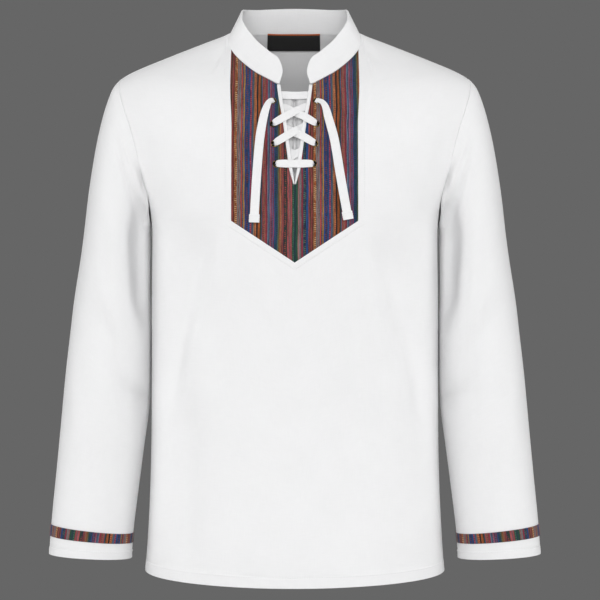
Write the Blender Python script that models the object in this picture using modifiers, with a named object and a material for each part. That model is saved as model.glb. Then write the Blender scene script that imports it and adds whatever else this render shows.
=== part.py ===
# Long-sleeve pullover shirt with a stand collar, a laced neck slit in a striped
# chest panel and a striped band on each cuff, filled out as if it were worn.
# The origin is the centre of the neck ring at the height of the shoulder seams,
# +Z is up and the front faces -Y. Left and right are the wearer's: left is +X.
# Tables and sizes are in millimetres; MM turns them to metres.

import math
from collections import namedtuple

import bmesh
import bpy
import numpy as np
from mathutils import Matrix, Vector

MM = 0.001
SEAM_GAP = 0.3

CLOTH = 1.5
COLLAR_CLOTH = 2.5
SHOULDER_TIP_Z = -63.0
UNDERARM_Z = -262.0
HEM_SIDE_Z = -733.0
HEM_FRONT_DROP = 10.5
HEM_BACK_DROP = 6.0
BACK_NECK_RISE = 8.0

ARMHOLE_ROWS = 14
SHOULDER_ROWS = 8
BODY_ROWS = 11

# One horizontal section of the body for each height: half its width, how far it
# reaches forward and back of the origin, and how square its corners are.
TorsoLevel = namedtuple("TorsoLevel", "z half_width front back squareness")
TORSO = [
    TorsoLevel(12, 84, 4, 60, 2.3),
    TorsoLevel(0, 88, 11, 65, 2.3),
    TorsoLevel(-9.6, 110.2, 22, 71, 2.35),
    TorsoLevel(-20.5, 138.2, 32, 77, 2.4),
    TorsoLevel(-31.5, 165.8, 41, 82, 2.45),
    TorsoLevel(-42.5, 192.8, 49.5, 86.5, 2.5),
    TorsoLevel(-53.5, 218.3, 58.5, 90.5, 2.55),
    TorsoLevel(-63, 235.3, 66, 94, 2.6),
    TorsoLevel(-72, 245.9, 72.5, 96.5, 2.62),
    TorsoLevel(-83, 253.3, 79.5, 99.5, 2.65),
    TorsoLevel(-105, 259.5, 90, 104.5, 2.7),
    TorsoLevel(-136, 255.5, 101, 109.5, 2.7),
    TorsoLevel(-166, 244, 109, 113, 2.7),
    TorsoLevel(-195, 229, 114, 115, 2.7),
    TorsoLevel(-228, 207.5, 119, 115, 2.7),
    TorsoLevel(-250, 197.5, 121.5, 114.2, 2.7),
    TorsoLevel(-262, 195, 122, 113.5, 2.7),
    TorsoLevel(-280, 194.3, 122.3, 112.3, 2.7),
    TorsoLevel(-310, 194.6, 122, 110, 2.67),
    TorsoLevel(-350, 195, 121, 107, 2.65),
    TorsoLevel(-500, 195.4, 120, 105, 2.6),
    TorsoLevel(-601, 196.8, 123, 109, 2.55),
    TorsoLevel(-684, 200.4, 127, 114, 2.55),
    TorsoLevel(-745, 204.8, 130, 118, 2.5),
]

# Broad soft folds on the body: the ends of each crease in the front view, how
# wide it is, how far it stands out (a trough is below zero) and which side.
Fold = namedtuple("Fold", "x0 z0 x1 z1 width height side")
BODY_FOLDS = [
    Fold(-150, -270, -95, -450, 26, -3.0, -1),
    Fold(-172, -300, -120, -520, 24, 3.0, -1),
    Fold(104, -330, 160, -560, 28, 3.2, -1),
    Fold(150, -290, 120, -470, 24, -3.0, -1),
    Fold(-60, -470, -40, -730, 40, 2.6, -1),
    Fold(60, -480, 75, -730, 40, -2.6, -1),
    Fold(-120, -130, -70, -330, 30, -3.5, 1),
    Fold(120, -130, 70, -330, 30, -3.5, 1),
    Fold(-30, -380, -90, -700, 40, 3.5, 1),
    Fold(60, -350, 90, -710, 40, -3.5, 1),
]


def steady_slopes(spans, steps):
    """Slopes at the rows of a table for a line that never swings past a row."""
    before, after = steps[:-1], steps[1:]
    same_way = before * after > 0
    total = np.where(same_way, before + after, 1.0)
    inner = np.where(same_way, 2 * before * after / total, 0.0)
    return np.concatenate([steps[:1], inner, steps[-1:]])


def fair_slopes(spans, steps):
    """Slopes at the rows of a table for a line with no sudden change of bend."""
    count = len(spans) + 1
    rules, pulls = np.zeros((count, count)), np.zeros(count)
    rules[0, :2], pulls[0] = (2, 1), 3 * steps[0]
    rules[-1, -2:], pulls[-1] = (1, 2), 3 * steps[-1]
    for i in range(1, count - 1):
        a, b = 1 / spans[i - 1], 1 / spans[i]
        rules[i, i - 1:i + 2] = (a, 2 * (a + b), b)
        pulls[i] = 3 * (a * steps[i - 1] + b * steps[i])
    return np.linalg.solve(rules, pulls)


class Curve:
    """A smooth line through the rows of a table, held level past its ends."""

    def __init__(self, at, values, slopes=steady_slopes):
        order = np.argsort(at)
        self.at = np.array(at, float)[order]
        self.values = np.array(values, float)[order]
        spans = np.diff(self.at)
        self.slopes = slopes(spans, np.diff(self.values) / spans)

    def __call__(self, x):
        x = min(max(x, self.at[0]), self.at[-1])
        i = min(int(np.searchsorted(self.at, x, side="right")) - 1, len(self.at) - 2)
        span = self.at[i + 1] - self.at[i]
        t = (x - self.at[i]) / span
        rise = self.values[i + 1] - self.values[i]
        start, end = self.slopes[i] * span, self.slopes[i + 1] * span
        cubic = start + end - 2 * rise
        square = 3 * rise - 2 * start - end
        return float(self.values[i] + t * (start + t * (square + t * cubic)))


def columns(table, along, slopes=steady_slopes):
    """One Curve for each column of a table, read along one of them."""
    names = [name for name in table[0]._fields if name != along]
    at = [getattr(row, along) for row in table]
    return {name: Curve(at, [getattr(row, name) for row in table], slopes) for name in names}


def ease(value, start, end):
    """0 before start, 1 after end, and smooth between."""
    t = min(max((value - start) / (end - start), 0.0), 1.0)
    return t * t * (3 - 2 * t)


def between(a, b, share):
    return a + (b - a) * share


TORSO_AT = columns(TORSO, "z", fair_slopes)


def fold_height(folds, x, z, side):
    """How far the folds lift the cloth at one place."""
    total = 0.0
    for fold in folds:
        if fold.side != side:
            continue
        ax, az = fold.x1 - fold.x0, fold.z1 - fold.z0
        length = math.hypot(ax, az)
        along = ((x - fold.x0) * ax + (z - fold.z0) * az) / length
        across = ((x - fold.x0) * az - (z - fold.z0) * ax) / length
        ends = ease(along, -30, 40) * (1 - ease(along, length - 40, length + 30))
        total += fold.height * ends * math.exp(-((across / fold.width) ** 2))
    return total


def torso_point(angle, z):
    """Point of the body's outer face: 0 is the left side seam, 90 degrees the back."""
    half, power = TORSO_AT["half_width"](z), TORSO_AT["squareness"](z)
    side = 1 if math.sin(angle) > 0 else -1
    depth = TORSO_AT["back"](z) if side > 0 else TORSO_AT["front"](z)
    c, s = math.cos(angle), math.sin(angle)
    reach = (abs(c) ** power + abs(s) ** power) ** (-1 / power)
    x = half * reach * c
    y = depth * reach * s
    lift = fold_height(BODY_FOLDS, x, z, side) * ease(abs(s), 0.1, 0.6)
    return Vector((x, y + side * lift, z))


def torso(angle, z):
    """Point and outward normal of the body's outer face."""
    along = torso_point(angle + 0.002, z) - torso_point(angle - 0.002, z)
    up = torso_point(angle, z + 0.4) - torso_point(angle, z - 0.4)
    return torso_point(angle, z), along.cross(up).normalized()


def angle_at_x(x, z, side):
    """The body angle whose point lies at x on the front (-1) or the back (1)."""
    c = min(abs(x) / TORSO_AT["half_width"](z), 1.0)
    power = TORSO_AT["squareness"](z)
    s = (1 - c ** power) ** (1 / power)
    return math.atan2(side * s, math.copysign(c, x))


def angle_at_y(y, z, x_sign):
    """The body angle whose point lies at y, on the left (1) or right (-1) half."""
    depth = TORSO_AT["back"](z) if y > 0 else TORSO_AT["front"](z)
    power = TORSO_AT["squareness"](z)
    s = abs(y) / depth
    c = (1 - s ** power) ** (1 / power)
    return math.atan2(math.copysign(s, y), x_sign * c)


class Patch:
    """Grids of places on one surface, joined where they share a place."""

    def __init__(self, surface):
        self.surface = surface
        self.index = {}
        self.points, self.normals, self.faces = [], [], []

    def corner(self, place):
        key = (round(place[0], 6), round(place[1], 4))
        if key not in self.index:
            point, normal = self.surface(*place)
            self.index[key] = len(self.points)
            self.points.append(point)
            self.normals.append(normal)
        return self.index[key]

    def grid(self, rows):
        """Add faces between rows of places, each row as long as the next."""
        for upper, lower in zip(rows, rows[1:]):
            for corners in zip(upper, upper[1:], lower[1:], lower):
                face = list(dict.fromkeys(self.corner(place) for place in corners))
                if len(face) > 2:
                    self.faces.append(face)


def tidy_collection(name):
    collection = bpy.data.collections.new(name)
    bpy.context.scene.collection.children.link(collection)
    return collection


def paint(name, colour, roughness, metallic=0.0):
    material = bpy.data.materials.new(name)
    material.use_nodes = True
    shader = material.node_tree.nodes["Principled BSDF"]
    shader.inputs["Base Color"].default_value = (*colour, 1.0)
    shader.inputs["Roughness"].default_value = roughness
    shader.inputs["Metallic"].default_value = metallic
    return material


def solid(name, vertices, faces, material):
    """One object from points in millimetres, with its faces turned outward."""
    mesh = bpy.data.meshes.new(name)
    shape = bmesh.new()
    corners = [shape.verts.new(Vector(point) * MM) for point in vertices]
    for face in faces:
        shape.faces.new([corners[i] for i in face])
    bmesh.ops.recalc_face_normals(shape, faces=shape.faces)
    shape.to_mesh(mesh)
    shape.free()
    mesh.materials.append(material)
    part = bpy.data.objects.new(name, mesh)
    SHIRT.objects.link(part)
    return part


def wall(name, patch, outer, inner, material):
    """A cloth wall: the patch moved out to two faces, closed round its rim."""
    count = len(patch.points)
    places = list(zip(patch.points, patch.normals))
    vertices = [point + normal * outer for point, normal in places]
    vertices += [point + normal * inner for point, normal in places]
    faces = list(patch.faces)
    faces += [[i + count for i in reversed(face)] for face in patch.faces]
    uses = {}
    for face in patch.faces:
        for a, b in zip(face, face[1:] + face[:1]):
            uses.setdefault(frozenset((a, b)), []).append((a, b))
    for pair in uses.values():
        if len(pair) == 1:
            a, b = pair[0]
            faces.append([b, a, a + count, b + count])
    return solid(name, vertices, faces, material)


for old in list(bpy.data.objects):
    bpy.data.objects.remove(old, do_unlink=True)
SHIRT = tidy_collection("long_sleeve_shirt")
CUTTERS = tidy_collection("cutters")

WHITE = (0.86, 0.86, 0.87)
COTTON = paint("white_cotton", WHITE, 0.85)


# Armholes: an egg-shaped seam on the body, narrower at the shoulder.

ARMHOLE_MIDDLE_Z = (SHOULDER_TIP_Z + UNDERARM_Z) / 2
ARMHOLE_HALF = (SHOULDER_TIP_Z - UNDERARM_Z) / 2
ARMHOLE_FRONT = 71.0
ARMHOLE_BACK = 74.0
ARMHOLE_EGG = 0.07


def armhole_y(turn):
    """Depth of the armhole seam: turn 0 is its top, 90 degrees its back."""
    reach = ARMHOLE_BACK if math.sin(turn) > 0 else ARMHOLE_FRONT
    return reach * math.sin(turn) * (1 - ARMHOLE_EGG * math.cos(turn))


def armhole_z(turn):
    return ARMHOLE_MIDDLE_Z + ARMHOLE_HALF * math.cos(turn)


def seam_angle(z, x_sign, side):
    """Body angle of a panel's outer edge: shoulder seam, armhole or side seam."""
    y = side * SEAM_GAP / 2
    if UNDERARM_Z < z < SHOULDER_TIP_Z:
        turn = math.acos((z - ARMHOLE_MIDDLE_Z) / ARMHOLE_HALF)
        y = armhole_y(side * turn)
        y = side * max(abs(y), SEAM_GAP / 2)
    return angle_at_y(y, z, x_sign)


ARMHOLE_LEVELS = [armhole_z(math.pi * i / ARMHOLE_ROWS) for i in range(ARMHOLE_ROWS + 1)]


def hem_z(angle):
    """Height of the hem, which dips in front and a little behind."""
    drop = HEM_BACK_DROP if math.sin(angle) > 0 else HEM_FRONT_DROP
    return HEM_SIDE_Z - drop * math.sin(angle) ** 2


# Neckline: level across the back and scooped down the front.

NeckLevel = namedtuple("NeckLevel", "z half_width")
NECKLINE = [
    NeckLevel(0, 88),
    NeckLevel(-8, 90),
    NeckLevel(-15, 90),
    NeckLevel(-21, 88),
    NeckLevel(-26, 85.3),
    NeckLevel(-33, 80.5),
    NeckLevel(-44, 70.3),
    NeckLevel(-53, 60),
    NeckLevel(-59.5, 51.5),
    NeckLevel(-65, 42),
    NeckLevel(-70.3, 33),
    NeckLevel(-75.6, 23.5),
    NeckLevel(-79.5, 12),
    NeckLevel(-81, 0),
]
NECK_HALF_WIDTH = columns(NECKLINE, "z")["half_width"]
PANEL_TOP_Z = -21.0
PANEL_TOP_HALF = NECK_HALF_WIDTH(PANEL_TOP_Z)
FRONT_OF_NECK = [row for row in NECKLINE if row.z <= PANEL_TOP_Z]
NECK_Z_AT_X = Curve([row.half_width for row in FRONT_OF_NECK], [row.z for row in FRONT_OF_NECK])


# Striped chest panel: a pentagon set behind a window cut in the front.

WINDOW_HALF = 83.6
WINDOW_SPREAD = 2.6
NECKLINE_CORNER_Z = -24.5
NECK_GAP = 0.5
WINDOW_POINT_Z = -317.0
FRONT_TOP_Z = -1.5
WING_COLUMNS = 8
MIDDLE_COLUMNS = 6


def window_half(z):
    """Half the window's width, which spreads a little towards the shoulders."""
    return WINDOW_HALF + WINDOW_SPREAD * ease(z, -140, -75)


def build_front():
    """The front: two shoulder wings beside the window and one piece below it."""
    patch = Patch(torso)
    shoulder = [between(FRONT_TOP_Z, SHOULDER_TIP_Z, i / SHOULDER_ROWS)
                for i in range(SHOULDER_ROWS)]
    levels = shoulder + ARMHOLE_LEVELS
    for x_sign in (-1, 1):
        rows = []
        for z in levels:
            inner_x = window_half(z)
            if z > NECKLINE_CORNER_Z:
                inner_x = max(NECK_HALF_WIDTH(z) + NECK_GAP, inner_x)
            outer, inner = seam_angle(z, x_sign, -1), angle_at_x(x_sign * inner_x, z, -1)
            rows.append([(between(outer, inner, j / WING_COLUMNS), z)
                         for j in range(WING_COLUMNS + 1)])
        patch.grid(rows)
    rows = []
    for k in range(BODY_ROWS + 1):
        row = []
        for x_sign in (-1, 1):
            half = []
            for j in range(WING_COLUMNS + MIDDLE_COLUMNS + 1):
                share = max(0.0, (j - WING_COLUMNS) / MIDDLE_COLUMNS)
                x = x_sign * WINDOW_HALF * (1 - share)
                top = between(UNDERARM_Z, WINDOW_POINT_Z, share)
                angle = angle_at_x(x, top, -1)
                z = between(top, hem_z(angle), k / BODY_ROWS)
                angle = angle_at_x(x, z, -1)
                if j < WING_COLUMNS:
                    outer = seam_angle(UNDERARM_Z, x_sign, -1)
                    angle = between(outer, angle, j / WING_COLUMNS)
                    z = between(UNDERARM_Z, hem_z(angle), k / BODY_ROWS)
                    outer = seam_angle(z, x_sign, -1)
                    inner = angle_at_x(x, z, -1)
                    angle = between(outer, inner, j / WING_COLUMNS)
                half.append((angle, z))
            row = row[:-1] + half[::-1] if x_sign > 0 else half
        rows.append(row)
    patch.grid(rows)
    return wall("front", patch, 0, -CLOTH, COTTON)


BACK_COLUMNS = 20


def build_back():
    """The back: one piece from the neck seam to the hem."""
    patch = Patch(torso)
    shoulder = [SHOULDER_TIP_Z * i / SHOULDER_ROWS for i in range(SHOULDER_ROWS)]
    body = [k / BODY_ROWS for k in range(1, BODY_ROWS + 1)]
    rows = []
    for level in shoulder + ARMHOLE_LEVELS:
        rise = BACK_NECK_RISE * (1 - ease(level, 0, SHOULDER_TIP_Z))
        start, end = seam_angle(level, 1, 1), seam_angle(level, -1, 1)
        angles = [between(start, end, j / BACK_COLUMNS) for j in range(BACK_COLUMNS + 1)]
        rows.append([(angle, level + rise * math.sin(angle) ** 2) for angle in angles])
    for share in body:
        start, end = seam_angle(UNDERARM_Z, 1, 1), seam_angle(UNDERARM_Z, -1, 1)
        angles = [between(start, end, j / BACK_COLUMNS) for j in range(BACK_COLUMNS + 1)]
        rows.append([(angle, between(UNDERARM_Z, hem_z(angle), share)) for angle in angles])
    patch.grid(rows)
    return wall("back", patch, 0, -CLOTH, COTTON)


build_front()
build_back()


# Sleeves: rings that fan out of the armhole and straighten down to the cuff.

SleeveRing = namedtuple("SleeveRing", "outer_z outer_x inner_z inner_x front back forward")
SLEEVE = [
    SleeveRing(-63, 235.7, -262, 195.5, 71, 74, 0),
    SleeveRing(-70, 242.5, -264.5, 195.8, 71, 74, 0),
    SleeveRing(-81, 248.6, -268, 196, 71.5, 74.5, 0),
    SleeveRing(-97, 254.8, -273.5, 196.2, 72, 75, 0),
    SleeveRing(-125, 263.6, -284, 196.3, 72, 76, 0),
    SleeveRing(-157, 271.4, -298, 196.3, 72, 77, 0),
    SleeveRing(-191, 277.5, -316, 196.3, 72.5, 77, 0),
    SleeveRing(-230, 283, -340, 196.3, 73.5, 78, 0),
    SleeveRing(-270, 287.5, -370, 196.3, 74, 78, 0),
    SleeveRing(-315, 293.5, -404, 196.3, 73, 77, -1),
    SleeveRing(-371, 302, -448, 196.5, 70, 74, -3),
    SleeveRing(-421, 307.4, -484, 197, 67, 70.5, -5),
    SleeveRing(-470, 312.8, -520, 199.5, 64, 67, -7.5),
    SleeveRing(-520, 317.4, -556, 204.5, 60.5, 62.5, -10),
    SleeveRing(-570, 321.9, -596, 209.8, 57, 58, -12.5),
    SleeveRing(-618, 326.4, -638, 215, 53, 53.5, -15),
    SleeveRing(-667, 330.9, -680, 219.8, 49, 48, -18),
    SleeveRing(-710, 333.9, -716, 221.8, 45.5, 43.5, -20),
]
SLEEVE_AT = columns(SLEEVE, "outer_z", fair_slopes)
SLEEVE_SQUARENESS = 2.15
CAP_END_Z = -190.0
CUFF_Z = -710.0
CUFF_BAND_BOTTOM_Z = CUFF_Z + 25.0
CUFF_BAND_TOP_Z = CUFF_BAND_BOTTOM_Z + 15.5

# Creases of the sleeve, read along its outer edge: where each is at its deepest,
# how long it is, its turn round the ring in degrees, its breadth and its height.
SleeveFold = namedtuple("SleeveFold", "outer_z length turn breadth height")
SLEEVE_FOLDS = [
    SleeveFold(-175, 95, 222, 24, -13.0),
    SleeveFold(-400, 90, 250, 30, 3.0),
    SleeveFold(-455, 60, 215, 26, -4.0),
    SleeveFold(-360, 80, 120, 30, -4.0),
    SleeveFold(-500, 90, 70, 34, 3.0),
]


def armhole_point(turn):
    """Place of the armhole seam on the left half of the body."""
    z = armhole_z(turn)
    y = armhole_y(turn)
    return torso(angle_at_y(y, z, 1) if abs(y) > 0.01 else 0.0, z)


def sleeve_ring(turn, level):
    """Point of a plain ring, and the ring's centre."""
    at = {name: curve(level) for name, curve in SLEEVE_AT.items()}
    power = between(2.0, SLEEVE_SQUARENESS, ease(level, SHOULDER_TIP_Z, CAP_END_Z))
    outer = Vector((at["outer_x"], 0, level))
    inner = Vector((at["inner_x"], 0, at["inner_z"]))
    c, s = math.cos(turn), math.sin(turn)
    reach = (abs(c) ** power + abs(s) ** power) ** (-1 / power)
    egg = 1 - ARMHOLE_EGG * c * (1 - ease(level, SHOULDER_TIP_Z, CAP_END_Z))
    depth = at["back"] if s > 0 else at["front"]
    centre = (outer + inner) / 2 + Vector((0, at["forward"], 0))
    across = (outer - inner) / 2 * reach * c
    return centre + across + Vector((0, depth * reach * s * egg, 0)), centre


def sleeve_point(turn, level):
    """Point of the left sleeve's outer face, fading into the armhole seam."""
    point, centre = sleeve_ring(turn, level)
    fade = 1 - ease(level, SHOULDER_TIP_Z, CAP_END_Z)
    if fade > 0:
        seam = armhole_point(turn)[0] + Vector((0.45, 0, 0))
        point = point + (seam - sleeve_ring(turn, SHOULDER_TIP_Z)[0]) * fade
    degrees = math.degrees(turn) % 360
    lift = 0.0
    for fold in SLEEVE_FOLDS:
        away = (degrees - fold.turn + 180) % 360 - 180
        along = (level - fold.outer_z) / fold.length
        lift += fold.height * math.exp(-((away / fold.breadth) ** 2) - along ** 2)
    lift *= ease(level, SHOULDER_TIP_Z, -110)
    return point + (point - centre).normalized() * lift


def sleeve(turn, level):
    """Point and outward normal of the left sleeve, mitred into the armhole."""
    below = max(level - 1.0, CUFF_Z)
    along = sleeve_point(turn + 0.01, level) - sleeve_point(turn - 0.01, level)
    down = sleeve_point(turn, below) - sleeve_point(turn, below + 1.0)
    normal = along.cross(down).normalized()
    point = sleeve_point(turn, level)
    if normal.dot(point - sleeve_ring(turn, level)[1]) < 0:
        normal = -normal
    if level == SHOULDER_TIP_Z:
        body_normal = armhole_point(turn)[1]
        share = min(max(0.5 + body_normal.dot(normal), 0.0), 1.0)
        normal = between(normal, body_normal, share).normalized()
    return point, normal


SLEEVE_TURNS = 2 * ARMHOLE_ROWS
SLEEVE_LEVELS = [-63, -70, -80, -94, -112, -134, -160, -190, -222, -256, -296, -342, -395,
                 -455, -515, -575, -630, CUFF_BAND_TOP_Z, CUFF_BAND_BOTTOM_Z, CUFF_Z]


def mirrored(surface, x_sign):
    """The same surface on the left (1) or, mirrored, on the right (-1)."""
    def place(u, v):
        point, normal = surface(u, v)
        return (Vector((x_sign * point.x, point.y, point.z)),
                Vector((x_sign * normal.x, normal.y, normal.z)))
    return place


def ring_rows(levels, turns):
    """Rows of places round a tube, each closed on its first place."""
    angles = [2 * math.pi * i / turns for i in range(turns)] + [0.0]
    return [[(angle, level) for angle in angles] for level in levels]


STRIPED_CLOTH = paint("striped_cotton", (0.25, 0.12, 0.14), 0.9)


def build_sleeve(side, x_sign):
    tube = Patch(mirrored(sleeve, x_sign))
    tube.grid(ring_rows(SLEEVE_LEVELS, SLEEVE_TURNS))
    wall("sleeve_" + side, tube, 0, -CLOTH, COTTON)
    band = Patch(mirrored(sleeve, x_sign))
    band.grid(ring_rows([CUFF_BAND_TOP_Z, CUFF_BAND_BOTTOM_Z], SLEEVE_TURNS))
    wall("cuff_band_" + side, band, SEAM_GAP + 1.0, SEAM_GAP, STRIPED_CLOTH)


for side, x_sign in (("right", -1), ("left", 1)):
    build_sleeve(side, x_sign)


# Neck slit: an open V between two bound edges, from the collar to its tip.

SlitLevel = namedtuple("SlitLevel", "z half_width")
SLIT = [
    SlitLevel(-70, 19.6),
    SlitLevel(-82, 18.6),
    SlitLevel(-99, 16.4),
    SlitLevel(-128, 11.2),
    SlitLevel(-159, 7.2),
    SlitLevel(-176, 4.9),
    SlitLevel(-195, 2.8),
    SlitLevel(-213, 0.2),
]
SLIT_HALF = columns(SLIT, "z")["half_width"]
SLIT_TIP_Z = -213.0
BINDING_WIDTH = 4.6
PANEL_SET_IN = 0.9
PANEL_OUTER = -(CLOTH + PANEL_SET_IN)
PANEL_INNER = PANEL_OUTER - CLOTH
PANEL_HALF = WINDOW_HALF + 8.0
PANEL_UNDERLAP = 9.0
PANEL_COLUMNS = 8
PANEL_UPPER_ROWS = 8
PANEL_LOWER_ROWS = 5


def panel_top(x):
    """Height of the panel's top edge, along the neck seam and then just below it."""
    if abs(x) > PANEL_TOP_HALF:
        return NECKLINE_CORNER_Z - 0.5 * (abs(x) - PANEL_TOP_HALF)
    return NECK_Z_AT_X(abs(x)) - NECK_GAP


def panel_place(x, z):
    return angle_at_x(x, z, -1), z


def build_panel():
    """The pentagon of striped cloth, with the slit left open down its middle."""
    patch = Patch(torso)
    base_z = SLIT_TIP_Z - 1.0
    top_x = SLIT_HALF(-78) + BINDING_WIDTH + SEAM_GAP
    for x_sign in (-1, 1):
        rows = []
        for i in range(PANEL_UPPER_ROWS + 1):
            share = i / PANEL_UPPER_ROWS
            edge_z = between(panel_top(top_x), SLIT_TIP_Z, share)
            edge_x = SLIT_HALF(edge_z) + BINDING_WIDTH + SEAM_GAP
            row = []
            for j in range(PANEL_COLUMNS + 1):
                across = j / PANEL_COLUMNS
                z = between(panel_top(between(PANEL_HALF, top_x, across)), base_z, share)
                x = between(PANEL_HALF, edge_x, across)
                row.append(panel_place(x_sign * x, z))
            rows.append(row)
        patch.grid(rows)
    rows = []
    shares = [j / PANEL_COLUMNS for j in range(PANEL_COLUMNS + 1)]
    tip_x = SLIT_HALF(SLIT_TIP_Z) + BINDING_WIDTH + SEAM_GAP
    half = [between(PANEL_HALF, tip_x, share) for share in shares]
    places = [-x for x in half] + half[::-1]
    for i in range(PANEL_LOWER_ROWS + 1):
        row = []
        for x in places:
            slope = (WINDOW_POINT_Z - UNDERARM_Z) * (1 - abs(x) / PANEL_HALF)
            bottom = UNDERARM_Z - PANEL_UNDERLAP + slope
            row.append(panel_place(x, between(base_z, bottom, i / PANEL_LOWER_ROWS)))
        rows.append(row)
    patch.grid(rows)
    return wall("striped_panel", patch, PANEL_OUTER, PANEL_INNER, STRIPED_CLOTH)


def build_binding(side, x_sign):
    """A folded strip round one edge of the slit, a little thicker than the panel."""
    patch = Patch(torso)
    rows = []
    for i in range(13):
        top = panel_top(SLIT_HALF(-78))
        z = between(top, SLIT_TIP_Z, i / 12)
        inner = SLIT_HALF(z)
        outer = inner + BINDING_WIDTH
        rows.append([panel_place(x_sign * inner, z), panel_place(x_sign * outer, z)])
    patch.grid(rows)
    wall("slit_binding_" + side, patch, PANEL_OUTER + 0.8, PANEL_INNER - 0.8, COTTON)


PANEL = build_panel()
for side, x_sign in (("right", -1), ("left", 1)):
    build_binding(side, x_sign)


# Underlay: a plain piece behind the slit, sewn to the back of the panel.

UNDERLAY_TOP_Z = -92.0
UNDERLAY_BOTTOM_Z = -228.0
UNDERLAY_TOP_HALF = 50.0
UNDERLAY_BOTTOM_HALF = 43.0
UNDERLAY_ROOM = 5.4
UNDERLAY_EDGE = 7.0
UNDERLAY_SEAT = 0.6
UNDERLAY_CREASE = 2.5


def underlay(u, z):
    """Place of the underlay: u runs from -1 at its right edge to 1 at its left."""
    drop = (z - UNDERLAY_TOP_Z) / (UNDERLAY_BOTTOM_Z - UNDERLAY_TOP_Z)
    half = between(UNDERLAY_TOP_HALF, UNDERLAY_BOTTOM_HALF, drop)
    x = u * half
    point, normal = torso(*panel_place(x, z))
    sides = ease(half - abs(x), UNDERLAY_EDGE, UNDERLAY_EDGE + 7)
    ends = 1 - ease(drop, 0.86, 0.96)
    crease = UNDERLAY_CREASE * math.exp(-((x / 3.5) ** 2))
    depth = PANEL_INNER - UNDERLAY_SEAT - (UNDERLAY_ROOM + crease) * sides * ends
    return point + normal * depth, normal


def build_underlay():
    patch = Patch(underlay)
    across = [-1, -0.88, -0.72, -0.56, -0.3, -0.12, 0, 0.12, 0.3, 0.56, 0.72, 0.88, 1]
    drops = [0, 0.17, 0.34, 0.51, 0.68, 0.84, 0.9, 0.96, 1]
    levels = [between(UNDERLAY_TOP_Z, UNDERLAY_BOTTOM_Z, drop) for drop in drops]
    patch.grid([[(u, z) for u in across] for z in levels])
    return wall("slit_underlay", patch, 0, -1.2, COTTON)


build_underlay()


# Stand collar: a stiff band on the neck seam, with rounded front ends.

COLLAR_HEIGHT = 33.0
COLLAR_CORNER = 21.0
COLLAR_END_Z = -76.8
COLLAR_FRONT_COLUMNS = 10
COLLAR_BACK_COLUMNS = 20
COLLAR_LEAN = Curve([-80, -40, 0, 25, 45, 70], [24, 26, 28, 22, 15, 10])
COLLAR_EXTRA = Curve([-30, 0, 12, 25, 40, 54], [0, 0.4, 2.0, 2.4, 1.2, 0])


def neck_ring_points():
    """The neck seam from the right front end, round the back, to the left one."""
    levels = [COLLAR_END_Z * (1 - i / 60) for i in range(60)]
    right = [torso_point(angle_at_x(-NECK_HALF_WIDTH(z), z, -1), z) for z in levels]
    left = [Vector((-point.x, point.y, point.z)) for point in right]
    back = []
    for i in range(61):
        angle = math.pi * (1 - i / 60)
        back.append(torso_point(angle, BACK_NECK_RISE * math.sin(angle) ** 2))
    return right + back + left[::-1]


NECK_RING = neck_ring_points()
NECK_LENGTHS = np.cumsum([0.0] + [(b - a).length for a, b in zip(NECK_RING, NECK_RING[1:])])
NECK_LENGTH = float(NECK_LENGTHS[-1])
SHOULDER_LENGTH = float(NECK_LENGTHS[60])


def neck_at(length):
    """Point of the neck seam at a length from its right front end."""
    axes = zip(*NECK_RING)
    return Vector([float(np.interp(length, NECK_LENGTHS, axis)) for axis in axes])


def collar(length, share):
    """Point and outward normal of the collar at a share of its height."""
    base = neck_at(length)
    along = neck_at(min(length + 14, NECK_LENGTH)) - neck_at(max(length - 14, 0))
    along.normalize()
    inward = Vector((-along.y, along.x, 0)).normalized()
    if inward.dot(base) > 0:
        inward = -inward
    lean = math.radians(COLLAR_LEAN(base.y))
    rise = inward * math.sin(lean) + Vector((0, 0, math.cos(lean)))
    from_end = min(length, NECK_LENGTH - length)
    square = between(0.35, 1.0, ease(from_end, 0, 50))
    rise = (rise - along * rise.dot(along) * square).normalized()
    height = COLLAR_HEIGHT + COLLAR_EXTRA(base.y)
    if from_end < COLLAR_CORNER:
        round_off = math.sqrt(COLLAR_CORNER ** 2 - (COLLAR_CORNER - from_end) ** 2)
        height += round_off - COLLAR_CORNER
    normal = along.cross(rise).normalized()
    if normal.dot(inward) > 0:
        normal = -normal
    return base + rise * (SEAM_GAP + height * share), normal


def build_collar():
    patch = Patch(collar)
    ends = [0, 1, 3, 6.5, 11.5]
    ends += [between(COLLAR_CORNER, SHOULDER_LENGTH, i / COLLAR_FRONT_COLUMNS)
             for i in range(COLLAR_FRONT_COLUMNS)]
    middle = [between(SHOULDER_LENGTH, NECK_LENGTH - SHOULDER_LENGTH, i / COLLAR_BACK_COLUMNS)
              for i in range(COLLAR_BACK_COLUMNS + 1)]
    lengths = ends + middle + [NECK_LENGTH - end for end in reversed(ends)]
    patch.grid([[(length, i / 3) for length in lengths] for i in range(4)])
    return wall("collar", patch, 0, -COLLAR_CLOTH, COTTON)


build_collar()


# Neck label: a bare woven strip sewn inside the back, below the collar.

LABEL_HALF = 37.4
LABEL_MIDDLE_X = -1.8
LABEL_TOP_Z = 6.9
LABEL_BOTTOM_Z = -14.6
LABEL_CLOTH = 1.0
LABEL_SET_IN = 1.4
LABEL_BLACK = paint("black_label", (0.012, 0.012, 0.012), 0.7)


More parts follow.
